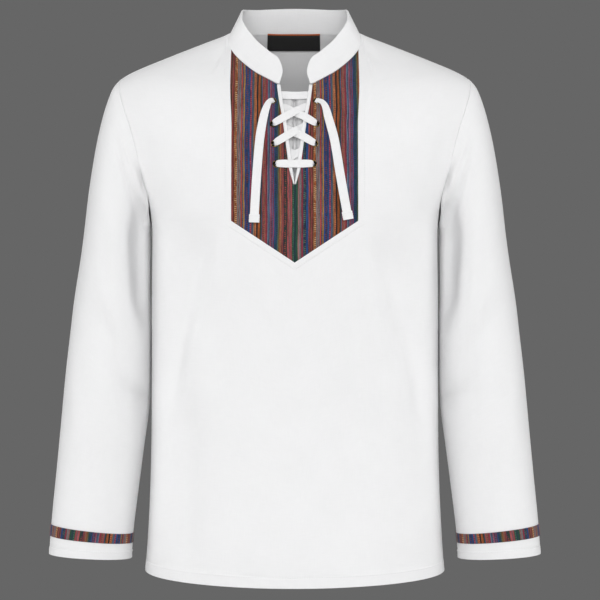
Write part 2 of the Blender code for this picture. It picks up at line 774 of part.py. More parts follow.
def build_label():
    patch = Patch(torso)
    rows = []
    for z in (LABEL_TOP_Z, (LABEL_TOP_Z + LABEL_BOTTOM_Z) / 2, LABEL_BOTTOM_Z):
        across = [LABEL_MIDDLE_X + LABEL_HALF * (i / 4 - 1) for i in range(9)]
        rows.append([(angle_at_x(x, z, 1), z) for x in across])
    patch.grid(rows)
    outer = -CLOTH - LABEL_SET_IN
    return wall("neck_label", patch, outer, outer - LABEL_CLOTH, LABEL_BLACK)


build_label()


# Eyelets: four brass rings down each side, clinched through the panel.

EyeletRow = namedtuple("EyeletRow", "z x")
EYELET_ROWS = [
    EyeletRow(-100.5, 29.2),
    EyeletRow(-132.4, 28.3),
    EyeletRow(-159.2, 26.5),
    EyeletRow(-186.4, 24.4),
]
EYELET_HOLE = 2.8
EYELET_BARREL = 3.3
EYELET_RIM = 4.7
EYELET_CLINCH = 4.3
PANEL_HOLE = EYELET_BARREL + SEAM_GAP
PANEL_MIDDLE = (PANEL_OUTER + PANEL_INNER) / 2
FLANGE_UNDER = CLOTH / 2 + SEAM_GAP
FLANGE_TOP = FLANGE_UNDER + 0.6
BRASS = paint("antique_brass", (0.33, 0.22, 0.1), 0.4, 1.0)


def eyelet_matrix(x, z):
    """Where an eyelet sits: its axis is the panel's normal."""
    point, normal = torso(*panel_place(x, z))
    turn = normal.to_track_quat("Z", "Y").to_matrix().to_4x4()
    return Matrix.Translation((point + normal * PANEL_MIDDLE) * MM) @ turn


def build_eyelet(name, x, z):
    """A turned ring with a front rim and a smaller clinched back rim."""
    profile = [
        (EYELET_HOLE, FLANGE_TOP - 0.2),
        (EYELET_HOLE + 0.6, FLANGE_TOP),
        (EYELET_RIM, FLANGE_UNDER + 0.2),
        (EYELET_RIM - 0.1, FLANGE_UNDER),
        (EYELET_BARREL, FLANGE_UNDER),
        (EYELET_BARREL, -FLANGE_UNDER),
        (EYELET_CLINCH, -FLANGE_UNDER),
        (EYELET_HOLE, -FLANGE_TOP),
    ]
    mesh = bpy.data.meshes.new(name)
    shape = bmesh.new()
    corners = [shape.verts.new((r * MM, 0, h * MM)) for r, h in profile]
    for a, b in zip(corners, corners[1:] + corners[:1]):
        shape.edges.new((a, b))
    shape.to_mesh(mesh)
    shape.free()
    mesh.materials.append(BRASS)
    ring = bpy.data.objects.new(name, mesh)
    SHIRT.objects.link(ring)
    ring.matrix_world = eyelet_matrix(x, z)
    screw = ring.modifiers.new("turn", "SCREW")
    screw.axis = "Z"
    screw.angle = 2 * math.pi
    screw.steps = 12
    screw.render_steps = 12
    screw.use_merge_vertices = True
    screw.merge_threshold = 0.00001


def cut_hole(name, x, z):
    """A hole through the panel for an eyelet's barrel."""
    bpy.ops.mesh.primitive_cylinder_add(vertices=14, radius=PANEL_HOLE * MM, depth=8 * MM)
    cutter = bpy.context.object
    cutter.name = name
    cutter.matrix_world = eyelet_matrix(x, z)
    for collection in list(cutter.users_collection):
        collection.objects.unlink(cutter)
    CUTTERS.objects.link(cutter)
    cutter.hide_render = True
    cutter.display_type = "WIRE"
    cut = PANEL.modifiers.new(name, "BOOLEAN")
    cut.operation = "DIFFERENCE"
    cut.solver = "EXACT"
    cut.object = cutter


for row_number, row in enumerate(EYELET_ROWS, start=1):
    for side, x_sign in (("right", -1), ("left", 1)):
        build_eyelet(f"eyelet_{side}_{row_number}", x_sign * row.x, row.z)
        cut_hole(f"hole_{side}_{row_number}", x_sign * row.x, row.z)


# Lace: one flat cotton tape through all eight eyelets, with two hanging ends.

LACE_THICK = 1.1
LACE_WIDE = 8.0
LACE_CROSSED = 6.0
LACE_PINCHED = 3.8
LACE_FRONT = -0.1
LACE_BEHIND = -5.9
LACE_FAR_BEHIND = -7.6
LACE_STEP = 3.6
WHITE_TAPE = paint("white_tape", (0.84, 0.84, 0.85), 0.8)

# A place on the lace's route: across and up on the chest, how far off the body's
# face (inside is below zero) and the tape's width there.
LacePlace = namedtuple("LacePlace", "x z off width")


def eyelet_pass(side, row_number, came_from, goes_to, inward, behind=LACE_BEHIND - 0.3):
    """Places where the tape narrows and goes through one eyelet."""
    row = EYELET_ROWS[row_number - 1]
    centre = Vector((side * row.x, row.z))
    before = (Vector(came_from) - centre).normalized()
    after = (Vector(goes_to) - centre).normalized()
    steps = [(6.5, LACE_FRONT + 0.2, LACE_WIDE - 1.5),
             (3.3, PANEL_MIDDLE + 3.3, LACE_PINCHED + 0.4),
             (0.9, PANEL_MIDDLE + 2.4, LACE_PINCHED),
             (0.0, PANEL_MIDDLE, LACE_PINCHED),
             (0.9, PANEL_MIDDLE - 2.4, LACE_PINCHED),
             (3.3, PANEL_MIDDLE - 3.3, LACE_PINCHED + 0.4),
             (6.5, behind, LACE_WIDE - 1.5)]
    if not inward:
        steps = steps[::-1]
    places = []
    for i, (distance, off, width) in enumerate(steps):
        spot = centre + (before if i < 3 else after) * distance
        places.append(LacePlace(spot.x, spot.y, off, width))
    return places


def lace_route():
    """The whole laced stretch, from the right top eyelet to the left one."""
    right_exit, left_exit = (-11.2, -109), (13.4, -107.5)
    low_right_exit, low_left_exit = (-9.2, -138.2), (12, -135)
    route = eyelet_pass(-1, 1, (-40, -105), (-16, -93), True)[1:]
    route += [
        LacePlace(-15, -93.2, LACE_BEHIND, LACE_WIDE),
        LacePlace(0, -94, LACE_BEHIND, LACE_WIDE),
        LacePlace(13, -93.4, LACE_BEHIND, LACE_WIDE),
        LacePlace(19.5, -95.2, LACE_BEHIND, 6.5),
        LacePlace(22.3, -99.6, LACE_BEHIND, 6),
        LacePlace(20.3, -104.4, LACE_BEHIND, 6.5),
        LacePlace(left_exit[0], left_exit[1], LACE_BEHIND, LACE_CROSSED),
        LacePlace(10.5, -109.2, LACE_BEHIND + 0.2, LACE_CROSSED),
        LacePlace(4.6, -112.7, -3.0, LACE_CROSSED),
        LacePlace(-0.1, -115.5, -1.7, LACE_CROSSED),
        LacePlace(-9, -120.9, LACE_FRONT - 0.1, LACE_CROSSED),
        LacePlace(-16, -125.1, LACE_FRONT, LACE_WIDE),
    ]
    route += eyelet_pass(-1, 2, left_exit, low_right_exit, True)
    route += [
        LacePlace(-16, -135.8, LACE_BEHIND, LACE_CROSSED),
        LacePlace(low_right_exit[0], low_right_exit[1], LACE_BEHIND, LACE_CROSSED),
        LacePlace(-7, -139.5, LACE_BEHIND + 0.2, LACE_CROSSED),
        LacePlace(-1, -143, -3.8, LACE_CROSSED),
        LacePlace(3.8, -145.8, -3.3, LACE_CROSSED),
        LacePlace(7.2, -147.8, -0.8, LACE_CROSSED),
        LacePlace(10, -149.5, LACE_FRONT, LACE_CROSSED),
        LacePlace(15, -152.4, LACE_FRONT, LACE_WIDE),
    ]
    route += eyelet_pass(1, 3, low_right_exit, (-24.4, -186.4), True)
    route += [LacePlace(0, -173, LACE_BEHIND, LACE_WIDE)]
    route += eyelet_pass(-1, 4, (26.5, -159.2), (24.4, -186.4), False)
    route += [
        LacePlace(-9, -186.6, LACE_FRONT, LACE_WIDE),
        LacePlace(9, -186.6, LACE_FRONT, LACE_WIDE),
    ]
    route += eyelet_pass(1, 4, (-24.4, -186.4), (-26.5, -159.2), True)
    route += [LacePlace(0, -172.6, LACE_FAR_BEHIND, LACE_WIDE)]
    route += eyelet_pass(-1, 3, (24.4, -186.4), low_left_exit, False)
    route += [
        LacePlace(-14, -151.4, LACE_FRONT, LACE_WIDE),
        LacePlace(-7.5, -147.3, LACE_FRONT - 0.1, LACE_CROSSED),
        LacePlace(-1, -143.2, -1.9, LACE_CROSSED),
        LacePlace(3.8, -140.2, -3.1, LACE_CROSSED),
        LacePlace(7.5, -137.8, LACE_BEHIND + 0.2, LACE_CROSSED),
        LacePlace(low_left_exit[0], low_left_exit[1], LACE_BEHIND, LACE_CROSSED),
        LacePlace(18, -134, LACE_BEHIND, LACE_CROSSED),
    ]
    route += eyelet_pass(1, 2, low_left_exit, right_exit, False)
    route += [
        LacePlace(17, -125.7, LACE_FRONT, LACE_WIDE),
        LacePlace(10.5, -121.8, LACE_FRONT - 0.1, LACE_CROSSED),
        LacePlace(4.6, -118.3, -3.1, LACE_CROSSED),
        LacePlace(-0.1, -115.6, -3.7, LACE_CROSSED),
        LacePlace(-8, -110.9, LACE_BEHIND + 0.2, LACE_CROSSED),
        LacePlace(right_exit[0], right_exit[1], LACE_BEHIND, LACE_CROSSED),
        LacePlace(-20, -104, LACE_FAR_BEHIND, 6.5),
        LacePlace(-22.3, -99.2, LACE_FAR_BEHIND, 6),
        LacePlace(-19.5, -94.8, LACE_FAR_BEHIND, 6.5),
        LacePlace(-13, -93.2, LACE_FAR_BEHIND, LACE_WIDE),
        LacePlace(0, -93.8, LACE_FAR_BEHIND, LACE_WIDE),
        LacePlace(15, -93, LACE_FAR_BEHIND, LACE_WIDE),
    ]
    route += eyelet_pass(1, 1, (16, -93), (40, -105), False, LACE_FAR_BEHIND - 0.2)[:-1]
    return route


def on_chest(place):
    """World point of a lace place and the chest's normal there."""
    point, normal = torso(*panel_place(place.x, place.z))
    return point + normal * place.off, normal


def smooth_route(places):
    """Points, normals and widths along a smooth curve through a route."""
    spots = [on_chest(place) for place in places]
    lengths = np.cumsum([0.0] + [(b[0] - a[0]).length for a, b in zip(spots, spots[1:])])
    curves = [Curve(lengths, [spot[0][axis] for spot in spots]) for axis in range(3)]
    turns = [Curve(lengths, [spot[1][axis] for spot in spots]) for axis in range(3)]
    width = Curve(lengths, [place.width for place in places])
    stations = []
    for start, end in zip(lengths, lengths[1:]):
        count = max(1, round((end - start) / LACE_STEP))
        stations += [between(start, end, i / count) for i in range(count)]
    stations.append(lengths[-1])
    points = [Vector([curve(s) for curve in curves]) for s in stations]
    normals = [Vector([turn(s) for turn in turns]).normalized() for s in stations]
    return points, normals, [width(s) for s in stations]


def across_tape(points, normals):
    """Direction across a flat tape that lies on the cloth and turns in the holes."""
    directions = []
    for i, normal in enumerate(normals):
        along = points[min(i + 1, len(points) - 1)] - points[max(i - 1, 0)]
        flat = along.normalized().cross(normal)
        directions.append(flat if flat.length > 0.6 else None)
    known = [i for i, flat in enumerate(directions) if flat]
    for a, b in zip(known, known[1:]):
        if directions[a].dot(directions[b]) < 0:
            directions[b] = -directions[b]
        for i in range(a + 1, b):
            directions[i] = between(directions[a], directions[b], (i - a) / (b - a))
    directions = [directions[known[0]] if i < known[0] else flat
                  for i, flat in enumerate(directions)]
    directions = [directions[known[-1]] if i > known[-1] else flat
                  for i, flat in enumerate(directions)]
    return [flat.normalized() for flat in directions]


def build_tape(name, places):
    """A flat tape swept along a route, with blunt ends."""
    points, normals, widths = smooth_route(places)
    sideways = across_tape(points, normals)
    vertices = []
    for i, (point, side, width) in enumerate(zip(points, sideways, widths)):
        along = points[min(i + 1, len(points) - 1)] - points[max(i - 1, 0)]
        up = side.cross(along).normalized() * LACE_THICK / 2
        reach = side * width / 2
        vertices += [point - reach - up, point + reach - up, point + reach + up, point - reach + up]
    faces = [[3, 2, 1, 0]]
    for i in range(0, len(vertices) - 4, 4):
        for a, b in ((0, 1), (1, 2), (2, 3), (3, 0)):
            faces.append([i + a, i + b, i + b + 4, i + a + 4])
    last = len(vertices) - 4
    faces.append([last, last + 1, last + 2, last + 3])
    return solid(name, vertices, faces, WHITE_TAPE)


RIGHT_TAIL = [
    LacePlace(-32.75, -102.0, 0.3, 4.3),
    LacePlace(-35.8, -104.0, 2.0, 6.0),
    LacePlace(-40.2, -110.5, 4.6, 7.5),
    LacePlace(-46.2, -125.5, 4.8, LACE_WIDE),
    LacePlace(-50.3, -154.5, 3.4, LACE_WIDE),
    LacePlace(-52.0, -194.0, 2.6, LACE_WIDE),
    LacePlace(-53.3, -233.7, 2.4, LACE_WIDE),
    LacePlace(-53.8, -252.6, 2.4, LACE_WIDE),
]
LEFT_TAIL = [
    LacePlace(32.75, -102.0, 0.3, 4.3),
    LacePlace(36.6, -104.6, 2.2, 6.0),
    LacePlace(40.6, -112.0, 4.6, 7.5),
    LacePlace(44.2, -125.5, 4.8, LACE_WIDE),
    LacePlace(52.0, -154.6, 3.4, LACE_WIDE),
    LacePlace(59.6, -200.8, 2.6, LACE_WIDE),
    LacePlace(66.2, -239.0, 2.4, LACE_WIDE),
    LacePlace(68.2, -250.0, 2.4, LACE_WIDE),
]
END_LONG = 11.0
END_WIDE = 13.0
END_THICK = 2.4


def build_lace_end(name, tail):
    """The folded tab at the end of a tail, wider and thicker than the tape."""
    last, before = tail[-1], tail[-2]
    way = Vector((last.x - before.x, last.z - before.z)).normalized()
    stations = [SEAM_GAP, SEAM_GAP + END_LONG]
    places = [LacePlace(last.x + way.x * s, last.z + way.y * s, last.off, END_WIDE)
              for s in stations]
    points, normals, widths = [], [], []
    for place in places:
        point, normal = on_chest(place)
        points.append(point)
        normals.append(normal)
    along = (points[1] - points[0]).normalized()
    across = along.cross(normals[0]).normalized()
    up = across.cross(along).normalized()
    bpy.ops.mesh.primitive_cube_add(size=1)
    tab = bpy.context.object
    tab.name = name
    tab.data.name = name
    tab.data.materials.append(WHITE_TAPE)
    for collection in list(tab.users_collection):
        collection.objects.unlink(tab)
    SHIRT.objects.link(tab)
    size = Matrix.Diagonal((END_WIDE * MM, (points[1] - points[0]).length * MM, END_THICK * MM, 1))
    turn = Matrix((across, along, up)).transposed().to_4x4()
    tab.data.transform(size)
    tab.matrix_world = Matrix.Translation((points[0] + points[1]) / 2 * MM) @ turn


build_tape("lace", lace_route())
for side, tail in (("right", RIGHT_TAIL), ("left", LEFT_TAIL)):
    build_tape("lace_tail_" + side, tail)
    build_lace_end("lace_end_" + side, tail)
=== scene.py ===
# Long-sleeve pullover shirt with a laced neck slit, dressed on its CAD frame. The origin
# is the centre of the neck ring, the front faces -Y, left and right are the wearer's.

import math
from collections import namedtuple

import bmesh
import bpy
import numpy as np
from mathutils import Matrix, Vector


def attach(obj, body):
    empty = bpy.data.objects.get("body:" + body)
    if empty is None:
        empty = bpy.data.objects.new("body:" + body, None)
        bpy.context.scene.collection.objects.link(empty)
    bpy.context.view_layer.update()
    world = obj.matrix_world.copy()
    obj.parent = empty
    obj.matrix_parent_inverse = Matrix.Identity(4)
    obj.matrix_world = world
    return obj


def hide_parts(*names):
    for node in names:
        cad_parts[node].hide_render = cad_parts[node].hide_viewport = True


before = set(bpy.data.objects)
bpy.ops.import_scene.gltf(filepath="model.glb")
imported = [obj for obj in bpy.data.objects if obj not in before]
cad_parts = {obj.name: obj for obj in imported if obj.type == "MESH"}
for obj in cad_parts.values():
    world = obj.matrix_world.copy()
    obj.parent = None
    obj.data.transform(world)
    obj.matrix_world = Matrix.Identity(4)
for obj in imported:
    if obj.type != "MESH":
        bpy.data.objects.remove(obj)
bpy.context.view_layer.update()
MM = 0.001


# Body: a front and a back of plain white cotton, sewn at the shoulders and down
# both sides. The front has a pentagon window cut below the neck, its edge turned
# under, and the hem is a narrow double fold. It is stitched in white cotton.

CLOTH = 1.5
SEAM_GAP = 0.3
SHOULDER_TIP_Z = -63.0
UNDERARM_Z = -262.0
HEM_SIDE_Z = -733.0
HEM_FRONT_DROP = 10.5
HEM_BACK_DROP = 6.0
BACK_NECK_RISE = 8.0
FRONT_TOP_Z = -1.5
WINDOW_HALF = 83.6
WINDOW_SPREAD = 2.6
WINDOW_POINT_Z = -317.0
NECKLINE_CORNER_Z = -24.5
NECK_GAP = 0.5
HEM_STITCH = 14.0
WINDOW_STITCH = 8.0

TorsoLevel = namedtuple("TorsoLevel", "z half_width front back squareness")
TORSO = [
    TorsoLevel(12, 84, 4, 60, 2.3),
    TorsoLevel(0, 88, 11, 65, 2.3),
    TorsoLevel(-9.6, 110.2, 22, 71, 2.35),
    TorsoLevel(-20.5, 138.2, 32, 77, 2.4),
    TorsoLevel(-31.5, 165.8, 41, 82, 2.45),
    TorsoLevel(-42.5, 192.8, 49.5, 86.5, 2.5),
    TorsoLevel(-53.5, 218.3, 58.5, 90.5, 2.55),
    TorsoLevel(-63, 235.3, 66, 94, 2.6),
    TorsoLevel(-72, 245.9, 72.5, 96.5, 2.62),
    TorsoLevel(-83, 253.3, 79.5, 99.5, 2.65),
    TorsoLevel(-105, 259.5, 90, 104.5, 2.7),
    TorsoLevel(-136, 255.5, 101, 109.5, 2.7),
    TorsoLevel(-166, 244, 109, 113, 2.7),
    TorsoLevel(-195, 229, 114, 115, 2.7),
    TorsoLevel(-228, 207.5, 119, 115, 2.7),
    TorsoLevel(-250, 197.5, 121.5, 114.2, 2.7),
    TorsoLevel(-262, 195, 122, 113.5, 2.7),
    TorsoLevel(-280, 194.3, 122.3, 112.3, 2.7),
    TorsoLevel(-310, 194.6, 122, 110, 2.67),
    TorsoLevel(-350, 195, 121, 107, 2.65),
    TorsoLevel(-500, 195.4, 120, 105, 2.6),
    TorsoLevel(-601, 196.8, 123, 109, 2.55),
    TorsoLevel(-684, 200.4, 127, 114, 2.55),
    TorsoLevel(-745, 204.8, 130, 118, 2.5),
]

# Creases: the two ends of each in the front view, how far its middle bows to one
# side, its width, how far it stands out (a trough is below zero), its side and its
# width on the other flank where that differs.
Fold = namedtuple("Fold", "x0 z0 x1 z1 bow width height side wide", defaults=(0,))
BODY_FOLDS = [
    Fold(-150, -270, -95, -450, 0, 26, -3.0, -1),
    Fold(-172, -300, -120, -520, 0, 24, 3.0, -1),
    Fold(104, -330, 160, -560, 0, 28, 3.2, -1),
    Fold(150, -290, 120, -470, 0, 24, -3.0, -1),
    Fold(-60, -470, -40, -730, 0, 40, 2.6, -1),
    Fold(60, -480, 75, -730, 0, 40, -2.6, -1),
    Fold(-120, -130, -70, -330, 0, 30, -3.5, 1),
    Fold(120, -130, 70, -330, 0, 30, -3.5, 1),
    Fold(-30, -380, -90, -700, 0, 40, 3.5, 1),
    Fold(60, -350, 90, -710, 0, 40, -3.5, 1),
]


class Curve:
    """A smooth line through the rows of a table, held level past its ends."""

    def __init__(self, at, values, fair=False):
        order = np.argsort(at)
        self.at = np.array(at, float)[order]
        self.values = np.array(values, float)[order]
        spans = np.diff(self.at)
        steps = np.diff(self.values) / spans
        self.slopes = self.fair(spans, steps) if fair else self.steady(steps)

    @staticmethod
    def steady(steps):
        """Slopes at the rows for a line that never swings past a row."""
        before, after = steps[:-1], steps[1:]
        same_way = before * after > 0
        total = np.where(same_way, before + after, 1.0)
        inner = np.where(same_way, 2 * before * after / total, 0.0)
        return np.concatenate([steps[:1], inner, steps[-1:]])

    @staticmethod
    def fair(spans, steps):
        """Slopes at the rows for a line with no sudden change of bend."""
        count = len(spans) + 1
        rules, pulls = np.zeros((count, count)), np.zeros(count)
        rules[0, :2], pulls[0] = (2, 1), 3 * steps[0]
        rules[-1, -2:], pulls[-1] = (1, 2), 3 * steps[-1]
        for i in range(1, count - 1):
            a, b = 1 / spans[i - 1], 1 / spans[i]
            rules[i, i - 1:i + 2] = (a, 2 * (a + b), b)
            pulls[i] = 3 * (a * steps[i - 1] + b * steps[i])
        return np.linalg.solve(rules, pulls)

    def __call__(self, x):
        x = np.clip(x, self.at[0], self.at[-1])
        i = np.clip(np.searchsorted(self.at, x, side="right") - 1, 0, len(self.at) - 2)
        span = self.at[i + 1] - self.at[i]
        t = (x - self.at[i]) / span
        rise = self.values[i + 1] - self.values[i]
        start, end = self.slopes[i] * span, self.slopes[i + 1] * span
        cubic = start + end - 2 * rise
        square = 3 * rise - 2 * start - end
        return self.values[i] + t * (start + t * (square + t * cubic))


def columns(table, along, fair=False):
    """One Curve for each column of a table, read along one of them."""
    names = [name for name in table[0]._fields if name != along]
    at = [getattr(row, along) for row in table]
    return {name: Curve(at, [getattr(row, name) for row in table], fair) for name in names}


def ease(value, start, end):
    """0 before start, 1 after end, and smooth between."""
    t = np.clip((value - start) / (end - start), 0.0, 1.0)
    return t * t * (3 - 2 * t)


def between(a, b, share):
    return a + (b - a) * share


def unit(vectors):
    return vectors / np.linalg.norm(vectors, axis=-1, keepdims=True)


def spots(x, y, z):
    """Points from arrays or numbers of their three coordinates."""
    return np.stack(np.broadcast_arrays(x, y, z), axis=-1).astype(float)


def bell(distance, width):
    """1 on a line, falling away on both sides of it in a bell shape."""
    return np.exp(-((distance / width) ** 2))


def ring_reach(c, s, power):
    """How far a rounded square of half width 1 reaches in a direction."""
    return (np.abs(c) ** power + np.abs(s) ** power) ** (-1 / power)


def run_lengths(points):
    """Lengths along a line of points, from its first one."""
    return np.concatenate([[0.0], np.cumsum(np.linalg.norm(np.diff(points, axis=0), axis=-1))])


def read_along(at, lengths, rows):
    """Rows of coordinates read between the lengths at which they stand."""
    return np.stack([np.interp(at, lengths, column) for column in rows.T], axis=-1)


TORSO_AT = columns(TORSO, "z", fair=True)


def crease_height(folds, x, z, side):
    """How far the creases lift the cloth at each place."""
    total = np.zeros(np.broadcast(x, z).shape)
    for fold in folds:
        ax, az = fold.x1 - fold.x0, fold.z1 - fold.z0
        length = math.hypot(ax, az)
        along = ((x - fold.x0) * ax + (z - fold.z0) * az) / length
        across = ((x - fold.x0) * az - (z - fold.z0) * ax) / length
        share = np.clip(along / length, 0, 1)
        across = across - fold.bow * 4 * share * (1 - share)
        run_out = min(40.0, 0.4 * length)
        ends = ease(along, -0.75 * run_out, run_out)
        ends = ends * (1 - ease(along, length - run_out, length + 0.75 * run_out))
        width = np.where(across > 0, fold.wide or fold.width, fold.width)
        lift = fold.height * ends * bell(across, width)
        total += np.where(side == fold.side, lift, 0.0)
    return total


def torso_point(angle, z):
    """Points of the body's outer face: 0 is the left side seam, 90 degrees the back."""
    half, power = TORSO_AT["half_width"](z), TORSO_AT["squareness"](z)
    c, s = np.cos(angle), np.sin(angle)
    side = np.where(s > 0, 1.0, -1.0)
    depth = np.where(s > 0, TORSO_AT["back"](z), TORSO_AT["front"](z))
    reach = ring_reach(c, s, power)
    x = half * reach * c
    y = depth * reach * s
    lift = crease_height(BODY_FOLDS, x, z, side) * ease(np.abs(s), 0.1, 0.6)
    return spots(x, y + side * lift, z)


def torso(angle, z):
    """Points and outward normals of the body's outer face."""
    along = torso_point(angle + 0.002, z) - torso_point(angle - 0.002, z)
    up = torso_point(angle, z + 0.4) - torso_point(angle, z - 0.4)
    return torso_point(angle, z), unit(np.cross(along, up))


def angle_at_x(x, z, side):
    """The body angle whose point lies at x on the front (-1) or the back (1)."""
    c = np.minimum(np.abs(x) / TORSO_AT["half_width"](z), 1.0)
    power = TORSO_AT["squareness"](z)
    s = (1 - c ** power) ** (1 / power)
    return np.arctan2(side * s, np.copysign(c, x))


def angle_at_y(y, z, x_sign):
    """The body angle whose point lies at y, on the left (1) or right (-1) half."""
    depth = np.where(np.asarray(y) > 0, TORSO_AT["back"](z), TORSO_AT["front"](z))
    power = TORSO_AT["squareness"](z)
    s = np.abs(y) / depth
    c = (1 - s ** power) ** (1 / power)
    return np.arctan2(np.copysign(s, y), x_sign * c)


# The armhole seam on the body is egg-shaped, narrower at the shoulder.
ARMHOLE_MIDDLE_Z = (SHOULDER_TIP_Z + UNDERARM_Z) / 2
ARMHOLE_HALF = (SHOULDER_TIP_Z - UNDERARM_Z) / 2
ARMHOLE_FRONT = 71.0
ARMHOLE_BACK = 74.0
ARMHOLE_EGG = 0.07
ARMHOLE_ROWS = 42


def armhole_y(turn):
    """Depth of the armhole seam: turn 0 is its top, 90 degrees its back."""
    reach = np.where(np.sin(turn) > 0, ARMHOLE_BACK, ARMHOLE_FRONT)
    return reach * np.sin(turn) * (1 - ARMHOLE_EGG * np.cos(turn))


def armhole_z(turn):
    return ARMHOLE_MIDDLE_Z + ARMHOLE_HALF * np.cos(turn)


def seam_angle(z, x_sign, side):
    """Body angle of a panel's outer edge: shoulder seam, armhole or side seam."""
    turn = np.arccos(np.clip((z - ARMHOLE_MIDDLE_Z) / ARMHOLE_HALF, -1, 1))
    depth = np.maximum(np.abs(armhole_y(side * turn)), SEAM_GAP / 2)
    return angle_at_y(side * depth, z, x_sign)


def hem_z(angle):
    """Height of the hem, which dips in front and a little behind."""
    drop = np.where(np.sin(angle) > 0, HEM_BACK_DROP, HEM_FRONT_DROP)
    return HEM_SIDE_Z - drop * np.sin(angle) ** 2


NeckLevel = namedtuple("NeckLevel", "z half_width")
NECKLINE = [
    NeckLevel(0, 88),
    NeckLevel(-8, 90),
    NeckLevel(-15, 90),
    NeckLevel(-21, 88),
    NeckLevel(-26, 85.3),
    NeckLevel(-33, 80.5),
    NeckLevel(-44, 70.3),
    NeckLevel(-53, 60),
    NeckLevel(-59.5, 51.5),
    NeckLevel(-65, 42),
    NeckLevel(-70.3, 33),
    NeckLevel(-75.6, 23.5),
    NeckLevel(-79.5, 12),
    NeckLevel(-81, 0),
]
NECK_HALF_WIDTH = columns(NECKLINE, "z")["half_width"]


def window_half(z):
    """Half the window's width, which spreads a little towards the shoulders."""
    return WINDOW_HALF + WINDOW_SPREAD * ease(z, -140, -75)


class Wire:
    """One output of a shader node, which takes part in sums like a number."""

    def __init__(self, paint, socket):
        self.paint, self.socket = paint, socket

    def maths(self, operation, *values):
        return self.paint.node("Math", {"operation": operation}, *values)

    def __add__(self, other):
        return self.maths("ADD", self, other)

    def __sub__(self, other):
        return self.maths("SUBTRACT", self, other)

    def __rsub__(self, other):
        return self.maths("SUBTRACT", other, self)

    def __mul__(self, other):
        return self.maths("MULTIPLY", self, other)

    def __truediv__(self, other):
        return self.maths("DIVIDE", self, other)

    def __mod__(self, other):
        return self.maths("FLOORED_MODULO", self, other)

    def __abs__(self):
        return self.maths("ABSOLUTE", self)

    __radd__ = __add__

    def sin(self):
        return self.maths("SINE", self)

    def floor(self):
        return self.maths("FLOOR", self)

    def above(self, other):
        return self.maths("GREATER_THAN", self, other)

    def threads(self, pitch):
        """Rounded ridges side by side: 0 between them and 1 on their tops."""
        return abs((self * (math.pi / pitch)).sin())

    def rising(self, low, high):
        """0 below low, 1 above high, and smooth between."""
        span = {"interpolation_type": "SMOOTHSTEP"}
        return self.paint.node("MapRange", span, self, low, high)


class Paint:
    """A material made of nodes, each placed by one call."""

    def __init__(self, name, **constants):
        self.material = bpy.data.materials.new(name)
        self.material.use_nodes = True
        self.tree = self.material.node_tree
        self.shader = self.tree.nodes["Principled BSDF"]
        for label, value in constants.items():
            self.shader.inputs[label.replace("_", " ").title()].default_value = value

    def node(self, kind, settings=None, *values, output=0, **named):
        """Add a node of one type with its settings and socket values."""
        made = self.tree.nodes.new("ShaderNode" + kind)
        for label, value in (settings or {}).items():
            setattr(made, label, value)
        sockets = dict(enumerate(values))
        sockets.update((label.replace("_", " "), value) for label, value in named.items())
        for label, value in sockets.items():
            self.feed(made.inputs[label], value)
        return Wire(self, made.outputs[output])

    def feed(self, socket, value):
        if isinstance(value, Wire):
            self.tree.links.new(value.socket, socket)
        else:
            socket.default_value = value

    def place(self):
        """Cloth coordinates in millimetres: across and along the threads."""
        split = self.node("SeparateXYZ", None, self.node("UVMap", {"uv_map": "cloth"}))
        return split, Wire(self, split.socket.node.outputs["Y"])

    def noise(self, across, along, detail=2.0, seed=0.0):
        """Noise from 0 to 1 over two coordinates already scaled to its grain."""
        spot = self.node("CombineXYZ", None, across, along, seed)
        return self.node("TexNoise", None, Vector=spot, Scale=1.0, Detail=detail)

    def grain(self, scale, detail):
        """Noise from 0 to 1 by place in the room, with so many grains to a metre."""
        where = self.node("NewGeometry", output="Position")
        return self.node("TexNoise", None, Vector=where, Scale=scale, Detail=detail)

    def mix(self, share, first, second, blend="MIX"):
        made = self.tree.nodes.new("ShaderNodeMix")
        made.data_type, made.blend_type = "RGBA", blend
        for index, value in ((0, share), (6, first), (7, second)):
            self.feed(made.inputs[index], value)
        return Wire(self, made.outputs[2])

    def ramp(self, along, stops, interpolation="CONSTANT"):
        """Colours that change along a value from 0 to 1."""
        made = self.tree.nodes.new("ShaderNodeValToRGB")
        made.color_ramp.interpolation = interpolation
        elements = made.color_ramp.elements
        elements.remove(elements[1])
        for number, (position, colour) in enumerate(stops):
            stop = elements.new(position) if number else elements[0]
            stop.position, stop.color = position, colour
        self.feed(made.inputs[0], along)
        return Wire(self, made.outputs[0])

    def relief(self, height, depth):
        """Bump from a height of 0 to 1 that stands for a depth in millimetres."""
        bump = self.node("Bump", None, Strength=1.0, Distance=depth * MM, Height=height)
        self.feed(self.shader.inputs["Normal"], bump)

    def set(self, label, value):
        self.feed(self.shader.inputs[label], value)


def colour(red, green, blue):
    """A shader colour from screen levels of 0 to 255."""
    levels = [level / 255 for level in (red, green, blue)]
    linear = [((v + 0.055) / 1.055) ** 2.4 if v > 0.04045 else v / 12.92 for v in levels]
    return (*linear, 1.0)


COTTON_THREAD = 0.55


